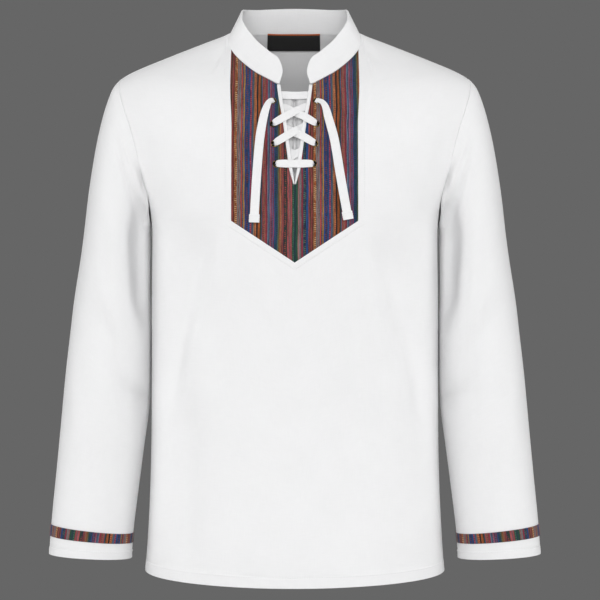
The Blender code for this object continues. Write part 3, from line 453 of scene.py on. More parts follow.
def cotton_paint(name, bright, shade):
    """Plain woven cotton: fine threads, slubs both ways and a soft unevenness."""
    paint = Paint(name, roughness=0.82, sheen_weight=0.12, sheen_roughness=0.45)
    across, along = paint.place()
    weave = across.threads(COTTON_THREAD) * 0.5 + along.threads(COTTON_THREAD) * 0.5
    slub_warp = paint.noise(across * 0.9, along * 0.06, 3.0, 1.0)
    slub_weft = paint.noise(across * 0.06, along * 0.9, 3.0, 2.0)
    slubs = (slub_warp + slub_weft) * 0.5
    cloudy = paint.noise(across * 0.02, along * 0.02, 2.0, 3.0)
    tone = slubs * 0.6 + cloudy * 0.25 + weave * 0.15
    paint.set("Base Color", paint.mix(tone.rising(0.25, 0.75), shade, bright))
    paint.set("Roughness", 0.9 - slubs * 0.14)
    paint.relief(slubs * 0.55 + weave * 0.45, 0.16)
    return paint.material


def pale(level):
    """White of one brightness with a trace of blue."""
    return level, level, level + 0.005, 1


WHITE_COTTON = cotton_paint("white_cotton_cloth", pale(0.93), pale(0.875))


def thread_paint(name, bright, shade):
    """Twisted sewing thread, a little glossier than the cloth."""
    paint = Paint(name, roughness=0.7, sheen_weight=0.2)
    twist = paint.grain(2600.0, 2.0)
    paint.set("Base Color", paint.mix(twist.rising(0.3, 0.7), shade, bright))
    paint.relief(twist, 0.06)
    return paint.material


THREAD_WHITE = thread_paint("white_thread", pale(0.90), pale(0.74))


def link(made):
    bpy.context.scene.collection.objects.link(made)


def new_piece(name, points, faces, material, charts=None):
    """An object from points in millimetres, smooth, riding on the one body."""
    mesh = bpy.data.meshes.new(name)
    mesh.from_pydata((np.asarray(points) * MM).tolist(), [], faces)
    mesh.materials.append(material)
    mesh.polygons.foreach_set("use_smooth", [True] * len(mesh.polygons))
    if charts is not None:
        layer = mesh.uv_layers.new(name="cloth")
        layer.data.foreach_set("uv", np.asarray(charts, np.float32).ravel())
    mesh.validate()
    mesh.update()
    piece = bpy.data.objects.new(name, mesh)
    link(piece)
    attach(piece, "root")
    return piece


def grid_chart(points):
    """Lengths across and along a grid of points, which serve as cloth coordinates."""
    middle = points.shape[1] // 2
    steps = np.linalg.norm(np.diff(points, axis=1), axis=-1)
    across = np.concatenate([np.zeros((len(points), 1)), np.cumsum(steps, axis=1)], axis=1)
    across -= across[:, middle:middle + 1]
    along = np.broadcast_to(run_lengths(points[:, middle])[:, None], across.shape)
    return np.stack([across, along], axis=-1)


# Places of two grids that differ by less than this, in angle and height, are sewn
# into one point. The shift keeps round numbers away from where the rounding turns.
SEWN_WITHIN = np.array([1e-6, 1e-4])
ROUNDING_SHIFT = 0.1371


def cloth(name, surface, grids, material, outer=0.0, inner=-CLOTH, relief=None, rim=0.5):
    """A closed cloth wall over grids of places on a surface, with rounded rims.
    relief gives how far the outer face is lifted, from the points of the form."""
    places = np.concatenate([np.stack([u, v], axis=-1).reshape(-1, 2) for u, v in grids])
    keys = np.round(places / SEWN_WITHIN + ROUNDING_SHIFT)
    first, index = np.unique(keys, axis=0, return_index=True, return_inverse=True)[1:]
    index = index.ravel()
    points, normals = surface(places[first, 0], places[first, 1])
    lift = relief(points, normals) if relief else np.zeros(len(points))
    faces, charts, start = [], [], 0
    for u, v in grids:
        rows, cols = u.shape
        numbers = index[start:start + rows * cols].reshape(rows, cols)
        chart = grid_chart(points[numbers])
        start += rows * cols
        for i in range(rows - 1):
            for j in range(cols - 1):
                cells = [(i, j), (i, j + 1), (i + 1, j + 1), (i + 1, j)]
                kept = {numbers[cell]: chart[cell] for cell in cells}
                if len(kept) > 2:
                    faces.append(list(kept))
                    charts.append(list(kept.values()))
    count = len(points)
    body = np.concatenate([points + normals * (outer + lift)[:, None],
                           points + normals * (inner + lift)[:, None]])
    uses = {}
    for face, chart in zip(faces, charts):
        for k in range(len(face)):
            a, b = face[k], face[(k + 1) % len(face)]
            edge = frozenset((a, b))
            uses[edge] = None if edge in uses else (a, b, chart[k], chart[(k + 1) % len(face)])
    doubled = faces + [[i + count for i in reversed(face)] for face in faces]
    doubled_charts = charts + [chart[::-1] for chart in charts]
    for a, b, chart_a, chart_b in filter(None, uses.values()):
        doubled.append([b, a, a + count, b + count])
        doubled_charts.append([chart_b, chart_a, chart_a, chart_b])
    flat = [spot for chart in doubled_charts for spot in chart]
    piece = new_piece(name, body, doubled, material, flat)
    outward(piece)
    if rim:
        bevel = piece.modifiers.new("rounded_rim", "BEVEL")
        bevel.width = rim * MM
        bevel.segments = 2
        bevel.limit_method = "ANGLE"
        bevel.angle_limit = math.radians(60)
    return piece


def outward(piece):
    """Turn all faces of a closed piece outward."""
    shape = bmesh.new()
    shape.from_mesh(piece.data)
    bmesh.ops.recalc_face_normals(shape, faces=shape.faces)
    shape.to_mesh(piece.data)
    shape.free()


# One stitch: shares of its length, how high its thread stands there, and its sides.
STITCH_SHARES = np.array([0.0, 0.18, 0.5, 0.82, 1.0])
STITCH_LIFTS = (-0.35, 0.05, 0.16, 0.05, -0.35)
STITCH_SIDES = 6
STITCH_FLATNESS = 0.7
STITCH_OFF = 0.14


def stitches(name, surface, rows, pitch=3.2, length=2.5, radius=0.26, off=0.0):
    """Threads of a sewn line: short arched runs, one after another."""
    points, faces = [], []
    turns = [2 * math.pi * k / STITCH_SIDES for k in range(STITCH_SIDES)]
    for u, v in rows:
        line, normals = surface(np.asarray(u, float), np.asarray(v, float))
        line = line + normals * off
        lengths = run_lengths(line)
        for number in range(int(lengths[-1] / pitch)):
            stations = (number + 0.1) * pitch + length * STITCH_SHARES
            spine = read_along(stations, lengths, line)
            ups = unit(read_along(stations, lengths, normals))
            sideways = unit(np.cross(ups, unit(spine[-1:] - spine[:1])))
            rings = len(points) + STITCH_SIDES * np.arange(len(spine))
            for place, lift, up, beside in zip(spine, STITCH_LIFTS, ups, sideways):
                for turn in turns:
                    rise = lift + radius * STITCH_FLATNESS * math.sin(turn)
                    points.append(place + up * rise + beside * radius * math.cos(turn))
            for ring in rings[:-1].tolist():
                for k in range(STITCH_SIDES):
                    a, b = ring + k, ring + (k + 1) % STITCH_SIDES
                    faces.append([a, b, b + STITCH_SIDES, a + STITCH_SIDES])
            first, last = int(rings[0]), int(rings[-1])
            faces.append([first + k for k in reversed(range(STITCH_SIDES))])
            faces.append([last + k for k in range(STITCH_SIDES)])
    piece = new_piece(name, points, faces, THREAD_WHITE)
    outward(piece)


def lifted(surface, relief):
    """A surface with its relief, for what is sewn on it."""
    def place(u, v):
        points, normals = surface(u, v)
        return points + normals * relief(points, normals)[:, None], normals
    return place


def window_distance(x, z):
    """How far a place on the front is outside the pentagon window."""
    run = math.hypot(WINDOW_HALF, UNDERARM_Z - WINDOW_POINT_Z)
    rise = (UNDERARM_Z - WINDOW_POINT_Z) / run
    below = np.abs(x) * rise - (z - WINDOW_POINT_Z) * WINDOW_HALF / run
    return np.maximum(np.abs(x) - window_half(z), below)


def pucker(along, pitch=6.4):
    """Small uneven dimples beside a stitched line, 0 to 1."""
    return 0.5 + 0.25 * np.sin(along * 2 * math.pi / pitch) + 0.25 * np.sin(along * 1.37 + 2)


HEM_RAISED = 0.35
STITCH_PULL = 0.45
HEM_WAVE = 0.3
WINDOW_RAISED = 0.25
WINDOW_PULL = 0.4


def hem_relief(from_hem, along, deep=HEM_STITCH):
    """A folded hem: raised at the edge, drawn in along its stitches."""
    step = HEM_RAISED * (1 - ease(from_hem, deep - 1.2, deep + 0.6))
    groove = -STITCH_PULL * bell(from_hem - deep, 1.1) * (0.6 + 0.4 * pucker(along))
    wave = np.sin(along * 0.21 + np.sin(along * 0.05))
    ripple = HEM_WAVE * (1 - ease(from_hem, 0, deep * 1.6)) * wave
    return step + groove + ripple * ease(from_hem, -1, 6)


# Softer creases that the cloth alone has: those that fan out from the collar and
# the long ones that fall from the chest to the hem, and a few like them behind.
FRONT_CREASES = [
    Fold(-92, -13, -113, -60, 0, 4, -2.3, -1),
    Fold(-93, -22, -101, -66, 0, 4, -2.0, -1),
    Fold(-95, -48, -96, -118, 0, 5, -1.0, -1),
    Fold(93, -13, 116, -56, 0, 4, -2.2, -1),
    Fold(94, -20, 103, -72, 0, 4, -2.0, -1),
    Fold(96, -50, 98, -110, 0, 5, -0.9, -1),
    Fold(-121, -285, -171, -500, 3, 14, -12.5, -1, 44),
    Fold(116, -288, 180, -530, -4, 32, -10.5, -1, 15),
    Fold(80, -335, 108, -570, 0, 18, -3.8, -1, 13),
    Fold(-146, -500, -141, -705, 0, 13, -6.5, -1, 34),
    Fold(-215, -108, -180, -215, 0, 9, -1.6, -1),
    Fold(214, -104, 182, -205, 0, 9, -1.4, -1),
]
BACK_CREASES = [
    Fold(-125, -260, -160, -500, 3, 16, -6.0, 1, 40),
    Fold(128, -270, 170, -520, -4, 36, -6.0, 1, 16),
    Fold(-40, -300, -60, -560, 0, 18, -3.0, 1, 14),
    Fold(-90, -14, -128, -60, 0, 5, -1.5, 1),
    Fold(92, -14, 124, -64, 0, 5, -1.5, 1),
    Fold(140, -500, 136, -700, 0, 14, -4.0, 1, 34),
]


def loose(creases, x, normals, z, side):
    """Creases of the loose cloth, which fade where it turns to the side."""
    facing = ease(side * normals[:, 1], 0.25, 0.7)
    return crease_height(creases, x, z, side) * facing


def front_relief(points, normals):
    x, y, z = points.T
    beyond = window_distance(x, z)
    fold = WINDOW_RAISED * (1 - ease(beyond, 6.2, 8.2))
    groove = -WINDOW_PULL * bell(beyond - WINDOW_STITCH, 0.9) * (0.6 + 0.4 * pucker(z + x))
    angle = np.arctan2(y, x)
    creases = loose(FRONT_CREASES, x, normals, z, -1)
    return creases + fold + groove + hem_relief(z - hem_z(angle), x)


def back_relief(points, normals):
    x, y, z = points.T
    creases = loose(BACK_CREASES, x, normals, z, 1)
    return creases + hem_relief(z - hem_z(np.arctan2(y, x)), x)


HEM_STEPS = np.array([16.5, 15.2, 14.4, 14.0, 13.6, 12.8, 11.0, 8.0, 5.0, 2.0, 0.0])
EDGE_STEPS = np.array([0.0, 0.8, 3.0, 6.0, 7.0, 7.6, 8.0, 8.4, 9.0, 10.5])
WING_COLUMNS = 26
MIDDLE_COLUMNS = 26
SHOULDER_ROWS = 20
BODY_ROWS = 76
ARMHOLE_LEVELS = armhole_z(np.linspace(0, math.pi, ARMHOLE_ROWS + 1))


def edge_shares(reach):
    """Shares from an outer edge (0) to an inner edge (1) with lines beside the inner."""
    near = 1 - EDGE_STEPS[::-1] / reach
    return np.concatenate([np.linspace(0, 1, WING_COLUMNS)[:-4] * near[0] / 0.88, near])


def front_grids():
    """Two shoulder wings beside the window and one piece below it."""
    levels = np.concatenate([np.linspace(FRONT_TOP_Z, SHOULDER_TIP_Z, SHOULDER_ROWS)[:-1],
                             ARMHOLE_LEVELS])
    beside_neck = np.where(levels > NECKLINE_CORNER_Z, NECK_HALF_WIDTH(levels) + NECK_GAP, 0)
    inner_x = np.maximum(beside_neck, window_half(levels))
    shares = edge_shares(110.0)
    outer, inner = seam_angle(levels, 1, -1), angle_at_x(inner_x, levels, -1)
    left = outer[:, None] + (inner - outer)[:, None] * shares
    z = np.broadcast_to(levels[:, None], left.shape)
    grids = [(left, z), (-math.pi - left, z)]
    middle = np.linspace(0, 1, MIDDLE_COLUMNS + 1)[1:]
    x = WINDOW_HALF * np.concatenate([np.ones(len(shares)), 1 - middle])
    top = np.concatenate([np.full(len(shares), UNDERARM_Z),
                          between(UNDERARM_Z, WINDOW_POINT_Z, middle)])
    first = angle_at_x(x, top, -1)
    outer = seam_angle(np.full(len(shares), UNDERARM_Z), 1, -1)
    first[:len(shares)] = outer + (first[:len(shares)] - outer) * shares
    slope = math.hypot(1, (UNDERARM_Z - WINDOW_POINT_Z) / WINDOW_HALF)
    drops = np.where(np.arange(len(x)) < len(shares), 1.0, slope)
    upper = top - EDGE_STEPS[:, None] * drops
    start, end = upper[-1], hem_z(first) + HEM_STEPS[0]
    body = start + (end - start) * np.linspace(0, 1, BODY_ROWS)[1:-1, None]
    lower = hem_z(first) + HEM_STEPS[:, None]
    z = np.concatenate([upper, body, lower])
    angle = angle_at_x(np.broadcast_to(x, z.shape), z, -1)
    outer = seam_angle(z[:, :len(shares)], 1, -1)
    wing = angle[:, :len(shares)]
    angle[:, :len(shares)] = outer + (wing - outer) * shares
    grids.append((np.concatenate([angle[:, :-1], -math.pi - angle[:, ::-1]], axis=1),
                  np.concatenate([z[:, :-1], z[:, ::-1]], axis=1)))
    return grids


def back_grids():
    """One piece from the neck seam to the hem."""
    levels = np.concatenate([np.linspace(0, SHOULDER_TIP_Z, SHOULDER_ROWS)[:-1], ARMHOLE_LEVELS])
    shares = np.linspace(0, 1, 3 * MIDDLE_COLUMNS)
    start, end = seam_angle(levels, 1, 1), seam_angle(levels, -1, 1)
    upper = start[:, None] + (end - start)[:, None] * shares
    rise = BACK_NECK_RISE * (1 - ease(levels, 0, SHOULDER_TIP_Z))
    upper_z = levels[:, None] + rise[:, None] * np.sin(upper) ** 2
    start, end = seam_angle(UNDERARM_Z, 1, 1), seam_angle(UNDERARM_Z, -1, 1)
    lower = start + (end - start) * shares
    last = hem_z(lower)
    body = between(UNDERARM_Z, last + HEM_STEPS[0], np.linspace(0, 1, BODY_ROWS)[1:-1, None])
    lower_z = np.concatenate([body, last + HEM_STEPS[:, None]])
    lower = np.broadcast_to(lower, lower_z.shape)
    return [(np.concatenate([upper, lower]), np.concatenate([upper_z, lower_z]))]


def chest(x, z):
    """Points and normals of the body's front at a place in the front view."""
    return torso(angle_at_x(x, z, -1), z)


front = cloth("front_cloth", torso, front_grids(), WHITE_COTTON, relief=front_relief)
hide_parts("front")
back = cloth("back_cloth", torso, back_grids(), WHITE_COTTON, relief=back_relief)
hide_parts("back")


def hem_stitches(name, start, end, relief):
    angle = np.linspace(start, end, 240)
    stitches(name, lifted(torso, relief), [(angle, hem_z(angle) + HEM_STITCH)], off=STITCH_OFF)


def window_stitches():
    """Two upright rows beside the window and one along each side of its point."""
    slope = (UNDERARM_Z - WINDOW_POINT_Z) / WINDOW_HALF
    point_z = WINDOW_POINT_Z - WINDOW_STITCH * math.hypot(1, slope)
    corner_x = WINDOW_HALF + WINDOW_STITCH
    levels = np.linspace(-7.0, point_z + corner_x * slope, 120)
    across = np.linspace(corner_x, 0.4, 60)
    rows = []
    for side in (-1, 1):
        rows.append((side * (window_half(levels) + WINDOW_STITCH), levels))
        rows.append((side * across, point_z + across * slope))
    stitches("window_stitches", lifted(chest, front_relief), rows, off=STITCH_OFF)


hem_stitches("hem_stitches_front", -math.pi + 0.02, -0.02, front_relief)
hem_stitches("hem_stitches_back", 0.02, math.pi - 0.02, back_relief)
window_stitches()


# Sleeves: a set-in tube of the same cotton for each arm, sewn into the armhole,
# slightly forward at the elbow, creased under the arm and hemmed at the cuff.

SleeveRing = namedtuple("SleeveRing", "outer_z outer_x inner_z inner_x front back forward")
SLEEVE = [
    SleeveRing(-63, 235.7, -262, 195.5, 71, 74, 0),
    SleeveRing(-70, 242.5, -264.5, 195.8, 71, 74, 0),
    SleeveRing(-81, 248.6, -268, 196, 71.5, 74.5, 0),
    SleeveRing(-97, 254.8, -273.5, 196.2, 72, 75, 0),
    SleeveRing(-125, 263.6, -284, 196.3, 72, 76, 0),
    SleeveRing(-157, 271.4, -298, 196.3, 72, 77, 0),
    SleeveRing(-191, 277.5, -316, 196.3, 72.5, 77, 0),
    SleeveRing(-230, 283, -340, 196.3, 73.5, 78, 0),
    SleeveRing(-270, 287.5, -370, 196.3, 74, 78, 0),
    SleeveRing(-315, 293.5, -404, 196.3, 73, 77, -1),
    SleeveRing(-371, 302, -448, 196.5, 70, 74, -3),
    SleeveRing(-421, 307.4, -484, 197, 67, 70.5, -5),
    SleeveRing(-470, 312.8, -520, 199.5, 64, 67, -7.5),
    SleeveRing(-520, 317.4, -556, 204.5, 60.5, 62.5, -10),
    SleeveRing(-570, 321.9, -596, 209.8, 57, 58, -12.5),
    SleeveRing(-618, 326.4, -638, 215, 53, 53.5, -15),
    SleeveRing(-667, 330.9, -680, 219.8, 49, 48, -18),
    SleeveRing(-710, 333.9, -716, 221.8, 45.5, 43.5, -20),
]
SLEEVE_AT = columns(SLEEVE, "outer_z", fair=True)
SLEEVE_SQUARENESS = 2.15
CAP_END_Z = -190.0
CUFF_Z = -710.0
CUFF_BAND_BOTTOM_Z = CUFF_Z + 25.0
CUFF_BAND_TOP_Z = CUFF_BAND_BOTTOM_Z + 15.5
CUFF_STITCH = 11.0
CUFF_STEPS = np.array([14.5, 12.4, 11.4, 11.0, 10.6, 9.6, 7.0, 4.0, 1.5, 0.0])
SLEEVE_TURNS = 72

# Creases read along the sleeve's outer edge: where each is deepest, how long it
# is, its turn round the ring in degrees, how it slants, its breadth and height.
SleeveFold = namedtuple("SleeveFold", "outer_z length turn slant breadth height")
SLEEVE_FOLDS = [
    SleeveFold(-175, 95, 222, 0, 24, -13.0),
    SleeveFold(-400, 90, 250, 0, 30, 3.0),
    SleeveFold(-455, 60, 215, 0, 26, -4.0),
    SleeveFold(-360, 80, 120, 0, 30, -4.0),
    SleeveFold(-500, 90, 70, 0, 34, 3.0),
]


def armhole_point(turn):
    """Points and normals of the armhole seam on the left half of the body."""
    z, y = armhole_z(turn), armhole_y(turn)
    angle = np.where(np.abs(y) > 0.01, angle_at_y(y, z, 1), 0.0)
    return torso(angle, z)


def sleeve_ring(turn, level):
    """Points of a plain ring, and the ring's centres."""
    at = {name: curve(level) for name, curve in SLEEVE_AT.items()}
    cap = ease(level, SHOULDER_TIP_Z, CAP_END_Z)
    power = between(2.0, SLEEVE_SQUARENESS, cap)
    outer = spots(at["outer_x"], 0, level)
    inner = spots(at["inner_x"], 0, at["inner_z"])
    c, s = np.cos(turn), np.sin(turn)
    reach = ring_reach(c, s, power)
    depth = np.where(s > 0, at["back"], at["front"])
    depth = depth * reach * s * (1 - ARMHOLE_EGG * c * (1 - cap))
    centre = (outer + inner) / 2 + spots(0, at["forward"], 0)
    return centre + (outer - inner) / 2 * (reach * c)[..., None] + spots(0, depth, 0), centre


def sleeve_point(turn, level):
    """Points of the left sleeve's outer face, fading into the armhole seam."""
    point, centre = sleeve_ring(turn, level)
    fade = 1 - ease(level, SHOULDER_TIP_Z, CAP_END_Z)
    first = np.full(np.shape(level), SHOULDER_TIP_Z)
    seam = armhole_point(turn)[0] + np.array([0.45, 0, 0])
    point = point + (seam - sleeve_ring(turn, first)[0]) * fade[..., None]
    degrees = np.degrees(turn)
    lift = np.zeros(np.shape(level))
    for fold in SLEEVE_FOLDS:
        middle = fold.turn + fold.slant * (level - fold.outer_z)
        away = (degrees - middle + 180) % 360 - 180
        along = (level - fold.outer_z) / fold.length
        lift += fold.height * np.exp(-((away / fold.breadth) ** 2) - along ** 2)
    lift = lift * ease(level, SHOULDER_TIP_Z, -110)
    return point + unit(point - centre) * lift[..., None]


def sleeve(turn, level):
    """Points and outward normals of the left sleeve, mitred into the armhole."""
    below = np.maximum(level - 1.0, CUFF_Z)
    along = sleeve_point(turn + 0.01, level) - sleeve_point(turn - 0.01, level)
    down = sleeve_point(turn, below) - sleeve_point(turn, below + 1.0)
    normal = unit(np.cross(along, down))
    point = sleeve_point(turn, level)
    facing = np.sum(normal * (point - sleeve_ring(turn, level)[1]), axis=-1)
    normal = normal * np.sign(facing)[..., None]
    body = armhole_point(turn)[1]
    share = np.clip(0.5 + np.sum(body * normal, axis=-1), 0, 1)[..., None]
    mitred = unit(between(normal, body, share))
    return point, np.where((level >= SHOULDER_TIP_Z)[..., None], mitred, normal)


def mirrored(surface, x_sign):
    """The same surface on the left (1) or, mirrored, on the right (-1)."""
    def place(u, v):
        point, normal = surface(u, v)
        return point * [x_sign, 1, 1], normal * [x_sign, 1, 1]
    return place


# Creases of the cloth alone, by distance from the middle of the shirt: the deep
# ones under the arm, the long one to the elbow and the tuck below it.
SLEEVE_CREASES = [
    Fold(236, -160, 203, -268, 0, 6, -6.0, -1, 9),
    Fold(206, -255, 199, -392, 0, 15, -15.0, -1),
    Fold(229, -158, 203, -232, 0, 5, 2.6, -1),
    Fold(208, -186, 199, -226, 0, 3.5, -4.0, -1),
    Fold(246, -182, 234, -262, 0, 14, -2.2, -1),
    Fold(254, -268, 248, -366, 0, 7, -1.4, -1),
    Fold(263, -372, 226, -512, 5, 20, -5.0, -1, 9),
    Fold(190, -508, 230, -480, 0, 9, -5.0, -1, 16),
    Fold(300, -420, 292, -560, 0, 12, 1.6, -1),
    Fold(262, -560, 250, -668, 0, 14, -1.8, -1),
    Fold(238, -162, 205, -272, 0, 7, -5.0, 1, 10),
    Fold(208, -262, 200, -380, 0, 14, -10.0, 1),
    Fold(286, -380, 232, -470, 4, 11, -4.5, 1, 18),
    Fold(292, -430, 240, -500, 4, 11, -4.0, 1, 18),
    Fold(280, -250, 262, -340, 0, 12, -2.6, 1),
    Fold(270, -540, 262, -650, 0, 14, -2.0, 1),
]


def sleeve_relief(points, normals):
    """The creases, and the cuff's hem by the height above its slanted edge."""
    x, y, z = points.T
    last = SLEEVE[-1]
    share = (last.outer_x - np.abs(x)) / (last.outer_x - last.inner_x)
    edge_z = between(last.outer_z, last.inner_z, share)
    creases = sum(crease_height(SLEEVE_CREASES, np.abs(x), z, side)
                  * ease(side * normals[:, 1], -0.1, 0.35) for side in (-1, 1))
    creases = creases * ease(-z, 90, 150)
    return creases + hem_relief(z - edge_z, y + np.abs(x), CUFF_STITCH)


def tube_grid(levels, turns):
    """One grid round a tube, closed on its first column."""
    angles = np.linspace(0, 2 * math.pi, turns + 1)
    angles[-1] = 0.0
    u, v = np.meshgrid(angles, levels)
    return u, v


def build_sleeve(side, x_sign):
    surface = mirrored(sleeve, x_sign)
    levels = np.concatenate([
        SHOULDER_TIP_Z - np.array([0.0, 1.0, 2.5, 4.5]),
        np.linspace(-70, -200, 34), np.linspace(-205, CUFF_Z + 17, 86), CUFF_Z + CUFF_STEPS])
    tube = cloth("sleeve_cloth_" + side, surface, [tube_grid(levels, SLEEVE_TURNS)],
                 WHITE_COTTON, relief=sleeve_relief)
    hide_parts("sleeve_" + side)
    turns = np.linspace(0, 2 * math.pi, 160)
    stitches("cuff_stitches_" + side, lifted(surface, sleeve_relief),
             [(turns, np.full(len(turns), CUFF_Z + CUFF_STITCH))], off=STITCH_OFF)


SIDES = (("right", -1), ("left", 1))
for side, x_sign in SIDES:
    build_sleeve(side, x_sign)


# Chest panel and cuff bands: cotton woven in many coloured lengthwise stripes,
# some with dotted threads. The panel lies behind the window and is slit down its
# middle; a strip of the same cloth is sewn round each cuff.

Stripe = namedtuple("Stripe", "width base dots", defaults=(None,))
HUES = {
    "gold": (168, 128, 54), "deep_blue": (14, 64, 136), "navy": (36, 56, 100),
    "blue": (20, 72, 128), "magenta": (146, 44, 72), "slate": (66, 88, 118),
    "tan": (130, 108, 78), "orange": (188, 110, 64), "black": (22, 25, 27),
    "burnt": (160, 82, 32), "olive": (58, 56, 34), "salmon": (158, 72, 66),
    "taupe": (124, 90, 78), "crimson": (142, 44, 64), "pale_blue": (104, 126, 146),
    "mauve": (148, 94, 116), "plum": (100, 66, 98), "teal": (28, 64, 80),
    "moss": (88, 106, 70), "brown": (116, 80, 50), "forest": (38, 56, 48),
    "pink": (176, 84, 86), "green": (26, 84, 60), "mint": (78, 124, 104),
    "deep_teal": (24, 58, 64), "violet": (62, 46, 92), "rust": (122, 48, 44),
    "grey": (120, 118, 120), "flame": (174, 66, 54), "cream": (196, 168, 124),
    "rose": (152, 106, 104), "night": (26, 34, 58),
}
STRIPES = [
    Stripe(1.3, "gold"), Stripe(1.5, "deep_blue"), Stripe(2.1, "navy", "rust"),
    Stripe(1.9, "blue"), Stripe(1.6, "magenta", "pink"), Stripe(1.7, "slate"),
    Stripe(0.9, "tan"), Stripe(2.2, "orange", "rust"), Stripe(1.6, "black"),
    Stripe(2.1, "burnt"), Stripe(1.2, "olive"), Stripe(0.9, "slate"),
    Stripe(1.5, "salmon"), Stripe(1.5, "taupe", "salmon"), Stripe(0.9, "salmon"),
    Stripe(1.5, "crimson"), Stripe(1.1, "pale_blue"), Stripe(1.2, "slate"),
    Stripe(1.3, "mauve"), Stripe(0.5, "crimson"), Stripe(2.0, "plum", "slate"),
    Stripe(0.5, "crimson"), Stripe(1.0, "blue"), Stripe(2.6, "teal", "navy"),
    Stripe(1.2, "moss"), Stripe(1.0, "brown"), Stripe(1.0, "orange"),
    Stripe(1.0, "taupe"), Stripe(1.7, "salmon"), Stripe(1.1, "night"),
    Stripe(1.5, "forest", "flame"), Stripe(1.4, "forest"), Stripe(1.7, "pink"),
    Stripe(1.4, "taupe", "plum"), Stripe(1.5, "pink"), Stripe(0.7, "forest"),
    Stripe(1.1, "green", "mint"), Stripe(2.1, "deep_teal"), Stripe(1.9, "green"),
    Stripe(1.6, "rose"), Stripe(1.9, "grey"), Stripe(1.7, "crimson"),
    Stripe(0.6, "violet"), Stripe(1.3, "teal", "mint"), Stripe(1.1, "night", "brown"),
    Stripe(2.5, "blue"), Stripe(1.2, "salmon"), Stripe(1.0, "olive"),
    Stripe(1.2, "salmon"), Stripe(1.1, "rust"), Stripe(0.8, "brown"),
    Stripe(2.3, "burnt", "cream"), Stripe(1.4, "grey"), Stripe(1.0, "rose"),
    Stripe(1.3, "grey"), Stripe(1.7, "flame"), Stripe(1.1, "slate", "night"),
]
STRIPE_UNIT = 1.311
STRIPE_REPEAT = STRIPE_UNIT * sum(stripe.width for stripe in STRIPES)
STRIPE_START = -68.0
STRIPE_THREAD = 0.46
DOT_PITCH = 2.6


def striped_paint():
    """Striped cotton: colour by place in the repeat, then dots, threads and wear."""
    paint = Paint("striped_cotton_cloth", roughness=0.88, sheen_weight=0.1, sheen_roughness=0.5)
    across, along = paint.place()
    sway = paint.noise(across * 0.012, along * 0.022, 1.0, 5.0) - 0.5
    across = across + sway * 2.6
    repeat = ((across - STRIPE_START) / STRIPE_REPEAT) % 1.0
    half = len(STRIPES) // 2
    total = sum(stripe.width for stripe in STRIPES)
    first_half = sum(stripe.width for stripe in STRIPES[:half])
    halves = []
    for rows, before in ((STRIPES[:half], 0.0), (STRIPES[half:], first_half)):
        bases, dots, marks = [], [], []
        position = before
        for stripe in rows:
            at = position / total
            bases.append((at, colour(*HUES[stripe.base])))
            dots.append((at, colour(*HUES[stripe.dots or stripe.base])))
            marks.append((at, (1, 1, 1, 1) if stripe.dots else (0, 0, 0, 1)))
            position += stripe.width
        halves.append([paint.ramp(repeat, stops) for stops in (bases, dots, marks)])
    second = repeat.above(first_half / total)
    base, dotted, marked = (paint.mix(second, *pair) for pair in zip(*halves))
    uneven = paint.noise(across * 0.25, along * 0.12, 2.0, 6.0)
    beat = (along * (2 * math.pi / DOT_PITCH) + across * 0.7 + uneven * 5.0).sin()
    shown = beat.rising(0.0, 0.5) * uneven.rising(0.38, 0.56) * marked
    thread = (across / STRIPE_THREAD).floor()
    streak = paint.noise(thread * 7.31, along * 0.035, 2.0, 7.0)
    fleck = paint.noise(thread * 3.17, along * 0.6, 1.0, 8.0)
    weft = along.threads(STRIPE_THREAD)
    light = 0.12 + streak.rising(0.34, 0.66) * 0.72 + fleck.rising(0.3, 0.75) * 0.4 + weft * 0.06
    grey = paint.node("CombineXYZ", None, light, light, light)
    worn = paint.mix(1.0, base, grey, "MULTIPLY")
    paint.set("Base Color", paint.mix(shown * 0.85, worn, dotted))
    ribs = across.threads(STRIPE_THREAD)
    paint.relief(ribs * 0.5 + weft * 0.3 + fleck * 0.2, 0.14)
    return paint.material


STRIPED_COTTON = striped_paint()

SlitLevel = namedtuple("SlitLevel", "z half_width")
SLIT = [
    SlitLevel(-70, 19.6),
    SlitLevel(-82, 18.6),
    SlitLevel(-99, 16.4),
    SlitLevel(-128, 11.2),
    SlitLevel(-159, 7.2),
    SlitLevel(-176, 4.9),
    SlitLevel(-195, 2.8),
    SlitLevel(-213, 0.2),
]
SLIT_HALF = columns(SLIT, "z")["half_width"]
SLIT_TIP_Z = -213.0
SLIT_OPENS_Z = -78.0
BINDING_WIDTH = 4.6
BINDING_STITCH = 0.72
PANEL_SET_IN = 0.9
PANEL_OUTER = -(CLOTH + PANEL_SET_IN)
PANEL_INNER = PANEL_OUTER - CLOTH
PANEL_MIDDLE = (PANEL_OUTER + PANEL_INNER) / 2
PANEL_HALF = WINDOW_HALF + 8.0
PANEL_UNDERLAP = 9.0
PANEL_TOP_Z = -21.0
PANEL_TOP_HALF = float(NECK_HALF_WIDTH(PANEL_TOP_Z))
PANEL_COLUMNS = 44
FRONT_OF_NECK = [row for row in NECKLINE if row.z <= PANEL_TOP_Z]
NECK_Z_AT_X = Curve([row.half_width for row in FRONT_OF_NECK],
                    [row.z for row in FRONT_OF_NECK])


def binding_width(z):
    """The slit's binding, which narrows to its tip."""
    return BINDING_WIDTH * (1 - 0.62 * ease(-z, 188, 213))


def panel_edge(z):
    """Where the panel ends beside the slit, just clear of the binding."""
    return SLIT_HALF(z) + binding_width(z) + 0.1


def panel_top(x):
    """Height of the panel's top edge, along the neck seam and then just below it."""
    x = np.abs(x)
    beside = NECKLINE_CORNER_Z - 0.5 * (x - PANEL_TOP_HALF)
    return np.where(x > PANEL_TOP_HALF, beside, NECK_Z_AT_X(x) - NECK_GAP)


